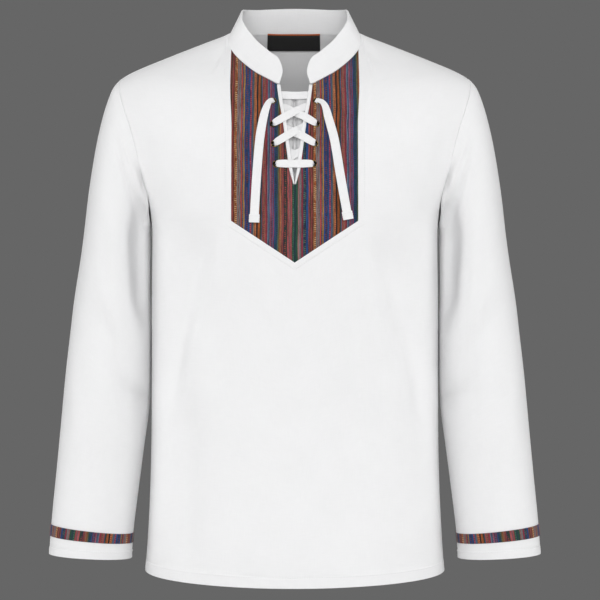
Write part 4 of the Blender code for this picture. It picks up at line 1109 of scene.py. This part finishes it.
def panel_grids():
    base_z = SLIT_TIP_Z - 1.0
    top_x = panel_edge(SLIT_OPENS_Z)
    shares = np.linspace(0, 1, PANEL_COLUMNS + 1)
    drop = np.linspace(0, 1, 60)[:, None]
    edge_z = between(panel_top(top_x), SLIT_TIP_Z, drop)
    edge_x = panel_edge(edge_z)
    z = between(panel_top(between(PANEL_HALF, top_x, shares)), base_z, drop)
    x = PANEL_HALF + (edge_x - PANEL_HALF) * shares
    half = between(PANEL_HALF, panel_edge(SLIT_TIP_Z), shares)
    low_x = np.concatenate([-half, half[::-1]])
    slope = (WINDOW_POINT_Z - UNDERARM_Z) * (1 - np.abs(low_x) / PANEL_HALF)
    low_z = between(base_z, UNDERARM_Z - PANEL_UNDERLAP + slope, np.linspace(0, 1, 36)[:, None])
    return [(x, z), (-x[:, ::-1], z[:, ::-1]), (np.broadcast_to(low_x, low_z.shape), low_z)]


def flat_charts(piece):
    """Cloth coordinates of a panel that hangs straight: its x and its height."""
    layer = piece.data.uv_layers["cloth"]
    points = np.array([v.co[:] for v in piece.data.vertices]) / MM
    corners = np.array([loop.vertex_index for loop in piece.data.loops])
    layer.data.foreach_set("uv", points[corners][:, (0, 2)].astype(np.float32).ravel())


panel = cloth("striped_panel_cloth", chest, panel_grids(), STRIPED_COTTON,
              outer=PANEL_OUTER, inner=PANEL_INNER, rim=0.3)
flat_charts(panel)
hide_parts("striped_panel")


def build_cuff_band(side, x_sign):
    levels = np.linspace(CUFF_BAND_TOP_Z, CUFF_BAND_BOTTOM_Z, 9)
    band = cloth("cuff_band_cloth_" + side, mirrored(sleeve, x_sign),
                 [tube_grid(levels, SLEEVE_TURNS)], STRIPED_COTTON,
                 outer=SEAM_GAP + 1.0, inner=0.15, rim=0.35)
    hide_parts("cuff_band_" + side)


for side, x_sign in SIDES:
    build_cuff_band(side, x_sign)


# Slit bindings and underlay: a folded white strip round each edge of the slit, and
# a plain white piece sewn behind it, creased softly down the middle.

UNDERLAY_TOP_Z = -92.0
UNDERLAY_BOTTOM_Z = -228.0
UNDERLAY_TOP_HALF = 50.0
UNDERLAY_BOTTOM_HALF = 43.0
UNDERLAY_ROOM = 5.4
UNDERLAY_EDGE = 7.0
UNDERLAY_SEAT = 0.6
UNDERLAY_CLOTH = 1.2
UNDERLAY_CREASE = 5.5
UNDERLAY_BULGE = 1.3


def binding_edge(x_sign):
    drop = np.linspace(0, 1, 60)[:, None]
    z = between(panel_top(SLIT_HALF(SLIT_OPENS_Z)), SLIT_TIP_Z, drop)
    inner = SLIT_HALF(z)
    x = inner + binding_width(z) * np.array([0.0, 0.12, 0.3, 0.5, 0.7, 0.88, 1.0])
    return [(x_sign * x, np.broadcast_to(z, x.shape))]


def binding_relief(points, normals):
    """Rounded over the folded edge, drawn in along its stitches."""
    x, y, z = points.T
    share = (np.abs(x) - SLIT_HALF(z)) / binding_width(z)
    rounded = 0.45 * np.sin(np.clip(share, 0, 1) * math.pi)
    return rounded - 0.3 * bell(share - BINDING_STITCH, 0.12)


for side, x_sign in SIDES:
    binding = cloth("binding_cloth_" + side, chest, binding_edge(x_sign), WHITE_COTTON,
                    outer=PANEL_OUTER + 0.8, inner=PANEL_INNER - 0.8, relief=binding_relief,
                    rim=0.6)
    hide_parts("slit_binding_" + side)
    levels = np.linspace(-80, SLIT_TIP_Z + 12, 90)
    stitches("binding_stitches_" + side, chest,
             [(x_sign * (SLIT_HALF(levels) + BINDING_STITCH * BINDING_WIDTH), levels)],
             pitch=2.4, length=1.8, radius=0.2, off=PANEL_OUTER + 1.0)


def underlay(u, z):
    """Places of the underlay: u runs from -1 at its right edge to 1 at its left."""
    drop = (z - UNDERLAY_TOP_Z) / (UNDERLAY_BOTTOM_Z - UNDERLAY_TOP_Z)
    half = between(UNDERLAY_TOP_HALF, UNDERLAY_BOTTOM_HALF, drop)
    x = u * half
    point, normal = chest(x, z)
    sides = ease(half - np.abs(x), UNDERLAY_EDGE, UNDERLAY_EDGE + 7)
    ends = 1 - ease(drop, 0.86, 0.96)
    crease = UNDERLAY_CREASE * bell(x, 2.4)
    crease = crease - UNDERLAY_BULGE * bell(np.abs(x) - 7.5, 4.5)
    depth = PANEL_INNER - UNDERLAY_SEAT - (UNDERLAY_ROOM + crease) * sides * ends
    return point + normal * depth[..., None], normal


# The cotton of the underlay is painted darker, for the shade that it lies in.
UNDER_COTTON = cotton_paint("underlay_cotton_cloth", pale(0.80), pale(0.70))
underlay_levels = np.linspace(UNDERLAY_TOP_Z, UNDERLAY_BOTTOM_Z, 50)
under = cloth("underlay_cloth", underlay, [np.meshgrid(np.linspace(-1, 1, 121), underlay_levels)],
              UNDER_COTTON, inner=-UNDERLAY_CLOTH, rim=0.3)
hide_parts("slit_underlay")


# Collar: a stiffened two-layer stand band on the neck seam, its front ends
# rounded, and a bare black woven label with an orange edge sewn inside below it.

COLLAR_HEIGHT = 33.0
COLLAR_CLOTH = 2.5
COLLAR_CORNER = 21.0
COLLAR_END_Z = -76.8
COLLAR_LEAN = Curve([-80, -40, 0, 25, 45, 70], [24, 26, 28, 22, 15, 10])
COLLAR_EXTRA = Curve([-30, 0, 12, 25, 40, 54], [0, 0.4, 2.0, 2.4, 1.2, 0])


def neck_ring_points():
    """The neck seam from the right front end, round the back, to the left one."""
    levels = COLLAR_END_Z * (1 - np.arange(120) / 120)
    right = torso_point(angle_at_x(-NECK_HALF_WIDTH(levels), levels, -1), levels)
    angle = math.pi * (1 - np.arange(121) / 120)
    back_line = torso_point(angle, BACK_NECK_RISE * np.sin(angle) ** 2)
    return np.concatenate([right, back_line, (right * [-1, 1, 1])[::-1]])


NECK_RING = neck_ring_points()
NECK_LENGTHS = run_lengths(NECK_RING)
NECK_LENGTH = float(NECK_LENGTHS[-1])


def neck_at(length):
    """Points of the neck seam at lengths from its right front end."""
    return read_along(length, NECK_LENGTHS, NECK_RING)


def collar(length, share):
    """Points and outward normals of the collar at shares of its height."""
    base = neck_at(length)
    along = unit(neck_at(np.minimum(length + 14, NECK_LENGTH))
                 - neck_at(np.maximum(length - 14, 0)))
    inward = unit(spots(-along[..., 1], along[..., 0], 0))
    inward = inward * -np.sign(np.sum(inward * base, axis=-1))[..., None]
    lean = np.radians(COLLAR_LEAN(base[..., 1]))
    rise = inward * np.sin(lean)[..., None] + spots(0, 0, np.cos(lean))
    from_end = np.minimum(length, NECK_LENGTH - length)
    square = between(0.35, 1.0, ease(from_end, 0, 50))
    rise = unit(rise - along * (np.sum(rise * along, axis=-1) * square)[..., None])
    inset = np.clip(COLLAR_CORNER - from_end, 0, COLLAR_CORNER)
    height = COLLAR_HEIGHT + COLLAR_EXTRA(base[..., 1]) - COLLAR_CORNER
    height = height + np.sqrt(COLLAR_CORNER ** 2 - inset ** 2)
    normal = unit(np.cross(along, rise))
    normal = normal * -np.sign(np.sum(normal * inward, axis=-1))[..., None]
    return base + rise * (SEAM_GAP + height * share)[..., None], normal


ends = COLLAR_CORNER * (1 - np.cos(np.linspace(0, math.pi / 2, 12)))
middle = np.linspace(COLLAR_CORNER, NECK_LENGTH - COLLAR_CORNER, 130)
collar_lengths = np.concatenate([ends[:-1], middle, NECK_LENGTH - ends[-2::-1]])
collar_shares = np.array([-0.045, 0.0, 0.03, 0.08, 0.2, 0.35, 0.5, 0.65, 0.8, 0.92, 0.97, 1.0])
band = cloth("collar_cloth", collar, [np.meshgrid(collar_lengths, collar_shares)], WHITE_COTTON,
             inner=-COLLAR_CLOTH, rim=0.9)
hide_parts("collar")


def collar_inside(length, share):
    points, normals = collar(length, share)
    return points - normals * COLLAR_CLOTH, -normals


inner_line = np.linspace(COLLAR_CORNER, NECK_LENGTH - COLLAR_CORNER, 300)
stitches("collar_stitches", collar_inside, [(inner_line, np.full(300, 0.055))], off=0.12)

LABEL_HALF = 37.4
LABEL_MIDDLE_X = -1.8
LABEL_TOP_Z = 6.9
LABEL_BOTTOM_Z = -14.6
LABEL_SET_IN = 1.4
LABEL_CLOTH = 1.0
LABEL_THREAD = 0.4
LABEL_LINE = 1.7


def label_paint():
    """Black satin-woven label cloth with one orange line along its top edge."""
    paint = Paint("black_label_cloth", roughness=0.55, sheen_weight=0.1)
    across, along = paint.place()
    rib = across.threads(LABEL_THREAD)
    grain = paint.noise(across * 1.5, along * 0.5, 2.0, 9.0)
    line = 1.0 - along.above(LABEL_LINE)
    black = paint.mix(grain, (0.006, 0.006, 0.006, 1), (0.02, 0.02, 0.02, 1))
    paint.set("Base Color", paint.mix(line, black, colour(186, 92, 40)))
    paint.relief(rib * 0.6 + grain * 0.4, 0.12)
    return paint.material


label = cloth("neck_label_cloth", lambda x, z: torso(angle_at_x(x, z, 1), z),
              [np.meshgrid(LABEL_MIDDLE_X + np.linspace(-LABEL_HALF, LABEL_HALF, 41),
                           np.linspace(LABEL_TOP_Z, LABEL_BOTTOM_Z, 17))],
              label_paint(), outer=-CLOTH - LABEL_SET_IN,
              inner=-CLOTH - LABEL_SET_IN - LABEL_CLOTH, rim=0.25)
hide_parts("neck_label")


# Eyelets: four rings down each side of the slit, turned from brass sheet, aged to a
# dark bronze that is rubbed bright on the rim, and clinched through the panel.

EyeletRow = namedtuple("EyeletRow", "z x")
EYELET_ROWS = [
    EyeletRow(-100.5, 29.2),
    EyeletRow(-132.4, 28.3),
    EyeletRow(-159.2, 26.5),
    EyeletRow(-186.4, 24.4),
]
EYELET_HOLE = 3.7
EYELET_RIM = 4.8
EYELET_BARREL = 3.95
EYELET_WASHER = 2.3
EYELET_SIDES = 40
HOLE_SIDES = 32
HOLE_REACH = 5.0
FLANGE_UNDER = CLOTH / 2 + 0.05
FLANGE_TOP = FLANGE_UNDER + 0.75


def bronze_paint():
    """Dark aged bronze with a warm rubbed edge and fine pits."""
    paint = Paint("aged_bronze_metal", metallic=1.0)
    grain, patches = paint.grain(1500.0, 3.0), paint.grain(420.0, 2.0)
    shown = paint.place()[1]
    rubbed = shown.rising(0.55, 1.0) * patches.rising(0.38, 0.62)
    dark = paint.mix(grain, (0.010, 0.008, 0.006, 1), (0.05, 0.036, 0.02, 1))
    paint.set("Base Color", paint.mix(rubbed, dark, (0.50, 0.34, 0.13, 1)))
    paint.set("Roughness", 0.62 - rubbed * 0.3)
    paint.relief(grain, 0.05)
    return paint.material


def eyelet_axes(x, z):
    """The middle of an eyelet's place in the panel, and its three directions."""
    point, normal = chest(np.array(x), np.array(z))
    across = unit(np.cross([0.0, 0.0, 1.0], normal))
    return point + normal * PANEL_MIDDLE, across, np.cross(normal, across), normal


def lathe(centre, across, up, normal, profile, sides):
    """A ring turned round the normal from radii and heights, and its faces."""
    turns = np.arange(sides) * 2 * math.pi / sides
    rim = np.cos(turns)[:, None] * across + np.sin(turns)[:, None] * up
    points = [centre + rim * radius + normal * height for radius, height in profile]
    count = len(profile)
    faces = []
    for i in range(count):
        for k in range(sides):
            a, b = i * sides + k, i * sides + (k + 1) % sides
            c, d = (i + 1) % count * sides + (k + 1) % sides, (i + 1) % count * sides + k
            faces.append([a, b, c, d])
    return np.concatenate(points), faces


BRONZE = bronze_paint()
EYELET_PROFILE = [
    (EYELET_RIM, FLANGE_UNDER), (EYELET_RIM + 0.12, FLANGE_UNDER + 0.22),
    (EYELET_RIM - 0.05, FLANGE_UNDER + 0.5), (EYELET_RIM - 0.4, FLANGE_TOP),
    (EYELET_HOLE + 0.25, FLANGE_TOP - 0.04), (EYELET_HOLE, FLANGE_TOP - 0.3),
    (EYELET_HOLE - 0.05, -FLANGE_UNDER - 0.3), (EYELET_WASHER, -FLANGE_UNDER - 0.45),
    (EYELET_WASHER, -FLANGE_TOP), (EYELET_HOLE, -FLANGE_TOP),
    (EYELET_RIM - 0.4, -FLANGE_TOP + 0.2), (EYELET_RIM - 0.3, -FLANGE_UNDER),
    (EYELET_BARREL, -FLANGE_UNDER), (EYELET_BARREL, FLANGE_UNDER),
]


def build_eyelet(name, node, x, z):
    """One ring; its rim, the second to fifth rows of the profile, is rubbed bright."""
    points, faces = lathe(*eyelet_axes(x, z), EYELET_PROFILE, EYELET_SIDES)
    shown = [1.0 if 1 <= i <= 4 else 0.0 for i in range(len(EYELET_PROFILE))]
    charts = [(0.0, shown[corner // EYELET_SIDES]) for face in faces for corner in face]
    ring = new_piece(name, points, faces, BRONZE, charts)
    outward(ring)
    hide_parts(node)


def cut_eyelet_holes(cloth_piece):
    """Cut the eight round holes that the eyelets' barrels fill."""
    points, faces = [], []
    for row in EYELET_ROWS:
        for side in (-1, 1):
            inner, outer = 0.01, EYELET_BARREL - 0.1
            profile = [(inner, HOLE_REACH), (outer, HOLE_REACH),
                       (outer, -HOLE_REACH), (inner, -HOLE_REACH)]
            ring, quads = lathe(*eyelet_axes(side * row.x, row.z), profile, HOLE_SIDES)
            start = sum(len(group) for group in points)
            points.append(ring)
            faces += [[corner + start for corner in quad] for quad in quads]
    mesh = bpy.data.meshes.new("eyelet_holes")
    mesh.from_pydata((np.concatenate(points) * MM).tolist(), [], faces)
    cutter = bpy.data.objects.new("eyelet_holes", mesh)
    link(cutter)
    outward(cutter)
    cut = cloth_piece.modifiers.new("holes", "BOOLEAN")
    cut.operation, cut.solver, cut.object = "DIFFERENCE", "EXACT", cutter
    bpy.context.view_layer.update()
    ready = cloth_piece.evaluated_get(bpy.context.evaluated_depsgraph_get())
    holed = bpy.data.meshes.new_from_object(ready)
    cloth_piece.modifiers.clear()
    cloth_piece.data = holed
    bpy.data.objects.remove(cutter)


cut_eyelet_holes(panel)
for number, row in enumerate(EYELET_ROWS, start=1):
    for side, x_sign in SIDES:
        build_eyelet(f"eyelet_ring_{side}_{number}", f"eyelet_{side}_{number}",
                     x_sign * row.x, row.z)


# Lace: one flat tubular cotton tape through all eight eyelets, crossed twice in
# front, and its two free ends, which hang down the panel in folded, sewn tabs.

TAPE_THICK = 1.1
TAPE_WIDE = 11.8
TAPE_CROSSED = 11.0
TAPE_AT_RIM = 9.8
TAPE_PINCHED = 3.6
LACE_FRONT = 0.0
LACE_BEHIND = -6.1
LACE_FAR_BEHIND = -7.6
TAPE_STEP = 1.1
TAPE_RIB = 0.62
TAPE_WEFT = 0.5

# A place on the lace's route: across and up on the chest, how far off the body's
# face (inside is below zero) and the tape's width there.
LacePlace = namedtuple("LacePlace", "x z off width")


def tape_paint():
    """White cotton tape: fine lengthwise ribs, a faint weft and soft edges."""
    paint = Paint("white_tape_cloth", roughness=0.8, sheen_weight=0.12, sheen_roughness=0.4)
    across, along = paint.place()
    ribs = across.threads(TAPE_RIB)
    weft = abs((along * (math.pi / TAPE_WEFT) + (across * 2.0).sin() * 0.8).sin())
    fuzz = paint.noise(across * 0.8, along * 0.25, 3.0, 11.0)
    tone = fuzz * 0.6 + ribs * 0.25 + weft * 0.15
    white = paint.mix(tone.rising(0.2, 0.75), pale(0.87), pale(0.95))
    paint.set("Base Color", white)
    paint.set("Roughness", 0.86 - fuzz * 0.12)
    paint.relief(ribs * 0.5 + weft * 0.25 + fuzz * 0.25, 0.16)
    return paint.material


WHITE_TAPE = tape_paint()


# A step of the way through an eyelet: how far from the eyelet's middle, how far off
# the body's face and the tape's width there.
PassStep = namedtuple("PassStep", "distance off width")


def eyelet_pass(side, row_number, came_from, goes_to, inward, behind=LACE_BEHIND - 0.3):
    """Places where the tape narrows and goes through one eyelet."""
    row = EYELET_ROWS[row_number - 1]
    centre = np.array([side * row.x, row.z])
    before = unit(np.array(came_from) - centre)
    after = unit(np.array(goes_to) - centre)
    steps = [PassStep(6.8, LACE_FRONT, TAPE_AT_RIM + 0.5),
             PassStep(3.6, PANEL_MIDDLE + 3.0, TAPE_AT_RIM),
             PassStep(1.5, PANEL_MIDDLE + 2.6, TAPE_AT_RIM - 1.0),
             PassStep(0.3, PANEL_MIDDLE + 1.2, TAPE_AT_RIM - 3.2),
             PassStep(-0.2, PANEL_MIDDLE - 0.6, TAPE_PINCHED),
             PassStep(0.9, PANEL_MIDDLE - 2.4, TAPE_PINCHED),
             PassStep(3.3, PANEL_MIDDLE - 3.3, TAPE_PINCHED + 0.6),
             PassStep(6.5, behind, TAPE_AT_RIM - 2.0)]
    if not inward:
        steps = steps[::-1]
    places = []
    for i, step in enumerate(steps):
        spot = centre + (before if i < len(steps) // 2 else after) * step.distance
        places.append(LacePlace(spot[0], spot[1], step.off, step.width))
    return places


def lace_route():
    """The whole laced stretch, from the right top eyelet to the left one."""
    right_exit, left_exit = (-11.2, -109), (13.4, -107.5)
    low_right_exit, low_left_exit = (-9.2, -138.2), (12, -135)
    route = eyelet_pass(-1, 1, (-40, -105), (-16, -93), True)[2:]
    route += [
        LacePlace(-16, -90.2, LACE_BEHIND, TAPE_WIDE),
        LacePlace(0, -91.0, LACE_BEHIND + 0.2, TAPE_WIDE),
        LacePlace(15, -90.4, LACE_BEHIND, TAPE_WIDE),
        LacePlace(21.5, -94.2, LACE_BEHIND, 7.5),
        LacePlace(23.3, -99.6, LACE_BEHIND, 6.5),
        LacePlace(20.8, -104.4, LACE_BEHIND, 7.5),
        LacePlace(*left_exit, LACE_BEHIND + 0.3, TAPE_CROSSED),
        LacePlace(10.5, -109.2, LACE_BEHIND + 1.0, TAPE_CROSSED),
        LacePlace(4.6, -112.7, -2.6, TAPE_CROSSED),
        LacePlace(-0.1, -115.5, -1.2, TAPE_CROSSED),
        LacePlace(-9, -120.9, LACE_FRONT, TAPE_CROSSED),
        LacePlace(-16, -125.1, LACE_FRONT, TAPE_CROSSED),
    ]
    route += eyelet_pass(-1, 2, left_exit, low_right_exit, True)
    route += [
        LacePlace(-16, -135.8, LACE_BEHIND, TAPE_CROSSED - 2),
        LacePlace(*low_right_exit, LACE_BEHIND, TAPE_CROSSED),
        LacePlace(-7, -139.5, LACE_BEHIND + 0.4, TAPE_CROSSED),
        LacePlace(-1, -143, -3.8, TAPE_CROSSED),
        LacePlace(3.8, -145.8, -3.0, TAPE_CROSSED),
        LacePlace(7.2, -147.8, -0.9, TAPE_CROSSED),
        LacePlace(10, -149.5, LACE_FRONT, TAPE_CROSSED),
        LacePlace(15, -152.4, LACE_FRONT, TAPE_CROSSED),
    ]
    route += eyelet_pass(1, 3, low_right_exit, (-24.4, -186.4), True)
    route += [LacePlace(0, -173, LACE_BEHIND, TAPE_CROSSED)]
    route += eyelet_pass(-1, 4, (26.5, -159.2), (24.4, -186.4), False)
    route += [
        LacePlace(-9, -186.6, LACE_FRONT, TAPE_CROSSED - 0.3),
        LacePlace(9, -186.6, LACE_FRONT, TAPE_CROSSED - 0.3),
    ]
    route += eyelet_pass(1, 4, (-24.4, -186.4), (-26.5, -159.2), True)
    route += [LacePlace(0, -172.6, LACE_FAR_BEHIND, TAPE_CROSSED)]
    route += eyelet_pass(-1, 3, (24.4, -186.4), low_left_exit, False)
    route += [
        LacePlace(-14, -151.4, LACE_FRONT, TAPE_CROSSED),
        LacePlace(-7.5, -147.3, LACE_FRONT, TAPE_CROSSED),
        LacePlace(-1, -143.2, -1.5, TAPE_CROSSED),
        LacePlace(3.8, -140.2, -2.8, TAPE_CROSSED),
        LacePlace(7.5, -137.8, LACE_BEHIND + 0.8, TAPE_CROSSED),
        LacePlace(*low_left_exit, LACE_BEHIND, TAPE_CROSSED),
        LacePlace(18, -134, LACE_BEHIND, TAPE_CROSSED - 2),
    ]
    route += eyelet_pass(1, 2, low_left_exit, right_exit, False)
    route += [
        LacePlace(17, -125.7, LACE_FRONT, TAPE_CROSSED),
        LacePlace(10.5, -121.8, LACE_FRONT, TAPE_CROSSED),
        LacePlace(4.6, -118.3, -2.9, TAPE_CROSSED),
        LacePlace(-0.1, -115.6, -3.7, TAPE_CROSSED),
        LacePlace(-8, -110.9, LACE_BEHIND + 0.6, TAPE_CROSSED),
        LacePlace(*right_exit, LACE_BEHIND, TAPE_CROSSED),
        LacePlace(-20.4, -104, LACE_FAR_BEHIND, 7.5),
        LacePlace(-23.3, -99.2, LACE_FAR_BEHIND, 6.5),
        LacePlace(-21, -93.8, LACE_FAR_BEHIND, 7.5),
        LacePlace(-15, -89.4, LACE_FAR_BEHIND, TAPE_WIDE),
        LacePlace(0, -90.0, LACE_FAR_BEHIND, TAPE_WIDE),
        LacePlace(16, -89.4, LACE_FAR_BEHIND, TAPE_WIDE),
    ]
    route += eyelet_pass(1, 1, (16, -93), (40, -105), False, LACE_FAR_BEHIND - 0.2)[:-2]
    return route


def smooth_route(places):
    """Points, normals and widths along a smooth curve through a route."""
    x, z, off, width = (np.array(column, float) for column in zip(*places))
    points, normals = chest(x, z)
    points = points + normals * off[:, None]
    lengths = run_lengths(points)
    stations = np.linspace(0, lengths[-1], int(lengths[-1] / TAPE_STEP) + 1)
    line, turned = (np.stack([Curve(lengths, axis)(stations) for axis in rows.T], axis=-1)
                    for rows in (points, normals))
    return line, unit(turned), Curve(lengths, width)(stations)


def across_tape(points, normals):
    """Direction across a flat tape that lies on the cloth and turns in the holes."""
    along = np.gradient(points, axis=0)
    flat = np.cross(unit(along), normals)
    lengths = np.linalg.norm(flat, axis=-1)
    known = np.flatnonzero(lengths > 0.6)
    for a, b in zip(known, known[1:]):
        if flat[a] @ flat[b] < 0:
            flat[b] = -flat[b]
    every = np.arange(len(points))
    return unit(read_along(every, known, unit(flat[known])))


TAPE_SECTION = [(-1.0, 0.0), (-0.97, 0.7), (-0.86, 1.0), (-0.7, 0.86), (-0.3, 0.8), (0.3, 0.8),
                (0.7, 0.86), (0.86, 1.0), (0.97, 0.7), (1.0, 0.0), (0.97, -0.7), (0.86, -1.0),
                (0.3, -0.86), (-0.3, -0.86), (-0.86, -1.0), (-0.97, -0.7)]


def build_tape(name, points, normals, widths, thick=TAPE_THICK):
    """A flat tape swept along its points, with rounded selvedges and blunt ends."""
    sideways = across_tape(points, normals)
    along = np.gradient(points, axis=0)
    up = unit(np.cross(sideways, along))
    up = up * np.sign(np.sum(up * normals, axis=-1))[:, None]
    for i in range(1, len(up)):
        if up[i] @ up[i - 1] < 0:
            up[i] = -up[i]
    lengths = run_lengths(points)
    rings, marks = [], []
    for share, rise in TAPE_SECTION:
        rings.append(points + sideways * (share * widths / 2)[:, None] + up * (rise * thick / 2))
        marks.append(np.stack([share * widths / 2, lengths], axis=-1))
    body = np.stack(rings, axis=1)
    marks = np.stack(marks, axis=1)
    count, sides = body.shape[:2]
    faces, charts = [], []
    for i in range(count - 1):
        for k in range(sides):
            cells = [(i, k), (i, (k + 1) % sides), (i + 1, (k + 1) % sides), (i + 1, k)]
            faces.append([a * sides + b for a, b in cells])
            charts += [marks[cell] for cell in cells]
    for end in (0, count - 1):
        faces.append([end * sides + k for k in range(sides)])
        charts += [marks[end, k] for k in range(sides)]
    piece = new_piece(name, body.reshape(-1, 3), faces, WHITE_TAPE, charts)
    outward(piece)
    return piece


tape = build_tape("lace_tape", *smooth_route(lace_route()))
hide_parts("lace")

RIGHT_TAIL = [
    LacePlace(-27.5, -99.8, -3.4, 4.6),
    LacePlace(-27.9, -99.8, -1.6, 5.6),
    LacePlace(-30.6, -100.8, 0.6, 6.4),
    LacePlace(-33.2, -103.2, 2.3, 7.4),
    LacePlace(-36.6, -110.5, 4.6, 9.2),
    LacePlace(-41.0, -125.5, 4.8, 11.0),
    LacePlace(-45.9, -154.5, 3.4, TAPE_WIDE),
    LacePlace(-49.2, -194.0, 2.6, TAPE_WIDE),
    LacePlace(-51.6, -233.7, 2.4, TAPE_WIDE),
    LacePlace(-52.6, -254.6, 2.4, TAPE_WIDE),
]
LEFT_TAIL = [
    LacePlace(27.5, -99.8, -3.4, 4.6),
    LacePlace(27.9, -99.8, -1.6, 5.6),
    LacePlace(32.2, -101.6, 0.6, 6.4),
    LacePlace(36.6, -104.6, 2.5, 7.4),
    LacePlace(40.6, -112.0, 4.6, 9.2),
    LacePlace(44.2, -125.5, 4.8, 11.0),
    LacePlace(52.0, -154.6, 3.4, TAPE_WIDE),
    LacePlace(59.6, -200.8, 2.6, TAPE_WIDE),
    LacePlace(66.2, -239.0, 2.4, TAPE_WIDE),
    LacePlace(68.4, -250.8, 2.4, TAPE_WIDE),
]
TAB_LONG = 10.8
TAB_WIDE = 14.0
TAB_THICK = 2.4
TAB_OVERLAP = 0.9
TAB_SEAM = 2.4


def build_tab(name, line, normals):
    """The folded end of a tail: a wider, thicker sewn tab with rounded edges."""
    way = unit(line[-1] - line[-6])
    normal = normals[-1]
    across = unit(np.cross(way, normal))
    up = np.cross(across, way)
    start = line[-1] - way * TAB_OVERLAP
    stations = np.linspace(0, TAB_LONG, 24)
    spine = start + way * stations[:, None]
    ends = np.sqrt(np.clip(1 - (np.abs(2 * stations / TAB_LONG - 1)) ** 14, 0, 1))
    widths = TAB_WIDE - 0.9 * (1 - ends) + 0.25 * np.sin(stations * 1.9)
    tab = build_tape(name, spine + up * 0.05, np.tile(up, (len(spine), 1)), widths,
                     thick=TAB_THICK)
    side_steps = np.linspace(-0.42, 0.42, 12)[:, None] * TAB_WIDE
    seam = start + way * TAB_SEAM + across * side_steps + up * (TAB_THICK / 2)
    stitches(name + "_stitches", lambda u, v: (seam, np.tile(up, (len(seam), 1))), [(0, 0)],
             pitch=2.3, length=1.8, radius=0.22, off=0.02)
    return tab


def build_tail(side, places):
    line, normals, widths = smooth_route(places)
    tail = build_tape("lace_end_tape_" + side, line, normals, widths)
    tab = build_tab("lace_tab_" + side, line, normals)
    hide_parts("lace_tail_" + side)
    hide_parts("lace_end_" + side)
    line[0] * MM
    (line * MM).tolist()


for side, places in (("right", RIGHT_TAIL), ("left", LEFT_TAIL)):
    build_tail(side, places)


# Studio, in metres: a pale floor, large soft lights on all sides and the camera in
# front at chest height, far enough away for the shirt to stand square in the picture.

FLOOR_Z = -0.95
FLOOR_RADIUS = 1.05
AIM = np.array([0.0, 0.0, -0.35])
BACKDROP = (0.1329, 0.1329, 0.1329, 1)
CAMERA_PLACE = (0.007, -2.8, -0.366)
LENS_LENGTH = 122.6
SENSOR_WIDTH = 36.0

bpy.ops.mesh.primitive_circle_add(vertices=96, radius=FLOOR_RADIUS, fill_type="NGON",
                                  location=(0, 0, FLOOR_Z))
floor = bpy.context.object
floor.name = "studio_floor"
floor_paint = Paint("pale_floor", base_color=(0.6, 0.6, 0.6, 1), roughness=0.8)
floor.data.materials.append(floor_paint.material)

Light = namedtuple("Light", "name x y z width height power")
LIGHTS = [
    Light("front_light", 0.0, -3.2, 0.7, 2.6, 2.0, 59.0),
    Light("low_light", 0.0, -2.95, -1.05, 2.6, 1.0, 12.0),
    Light("left_light", 2.4, -0.9, 0.0, 1.6, 2.2, 24.0),
    Light("right_light", -2.4, -0.9, 0.0, 1.6, 2.2, 24.0),
    Light("back_light", 0.0, 2.8, 0.7, 3.0, 2.0, 40.0),
    Light("top_light", 0.0, -0.2, 2.2, 2.0, 1.6, 9.0),
]
for light in LIGHTS:
    data = bpy.data.lights.new(light.name, "AREA")
    data.shape, data.size, data.size_y = "RECTANGLE", light.width, light.height
    data.energy = light.power
    lamp = bpy.data.objects.new(light.name, data)
    lamp.location = (light.x, light.y, light.z)
    aim = AIM - np.array([light.x, light.y, light.z])
    lamp.rotation_mode = "QUATERNION"
    lamp.rotation_quaternion = Vector(aim).to_track_quat("-Z", "Y")
    link(lamp)

world = bpy.data.worlds.new("studio")
bpy.context.scene.world = world
world.use_nodes = True
world.node_tree.nodes["Background"].inputs["Color"].default_value = BACKDROP
bpy.context.scene.view_settings.view_transform = "Standard"

lens = bpy.data.cameras.new("camera")
lens.lens, lens.sensor_width = LENS_LENGTH, SENSOR_WIDTH
camera = bpy.data.objects.new("camera", lens)
camera.location = CAMERA_PLACE
camera.rotation_euler = (math.pi / 2, 0, 0)
link(camera)
bpy.context.scene.camera = camera
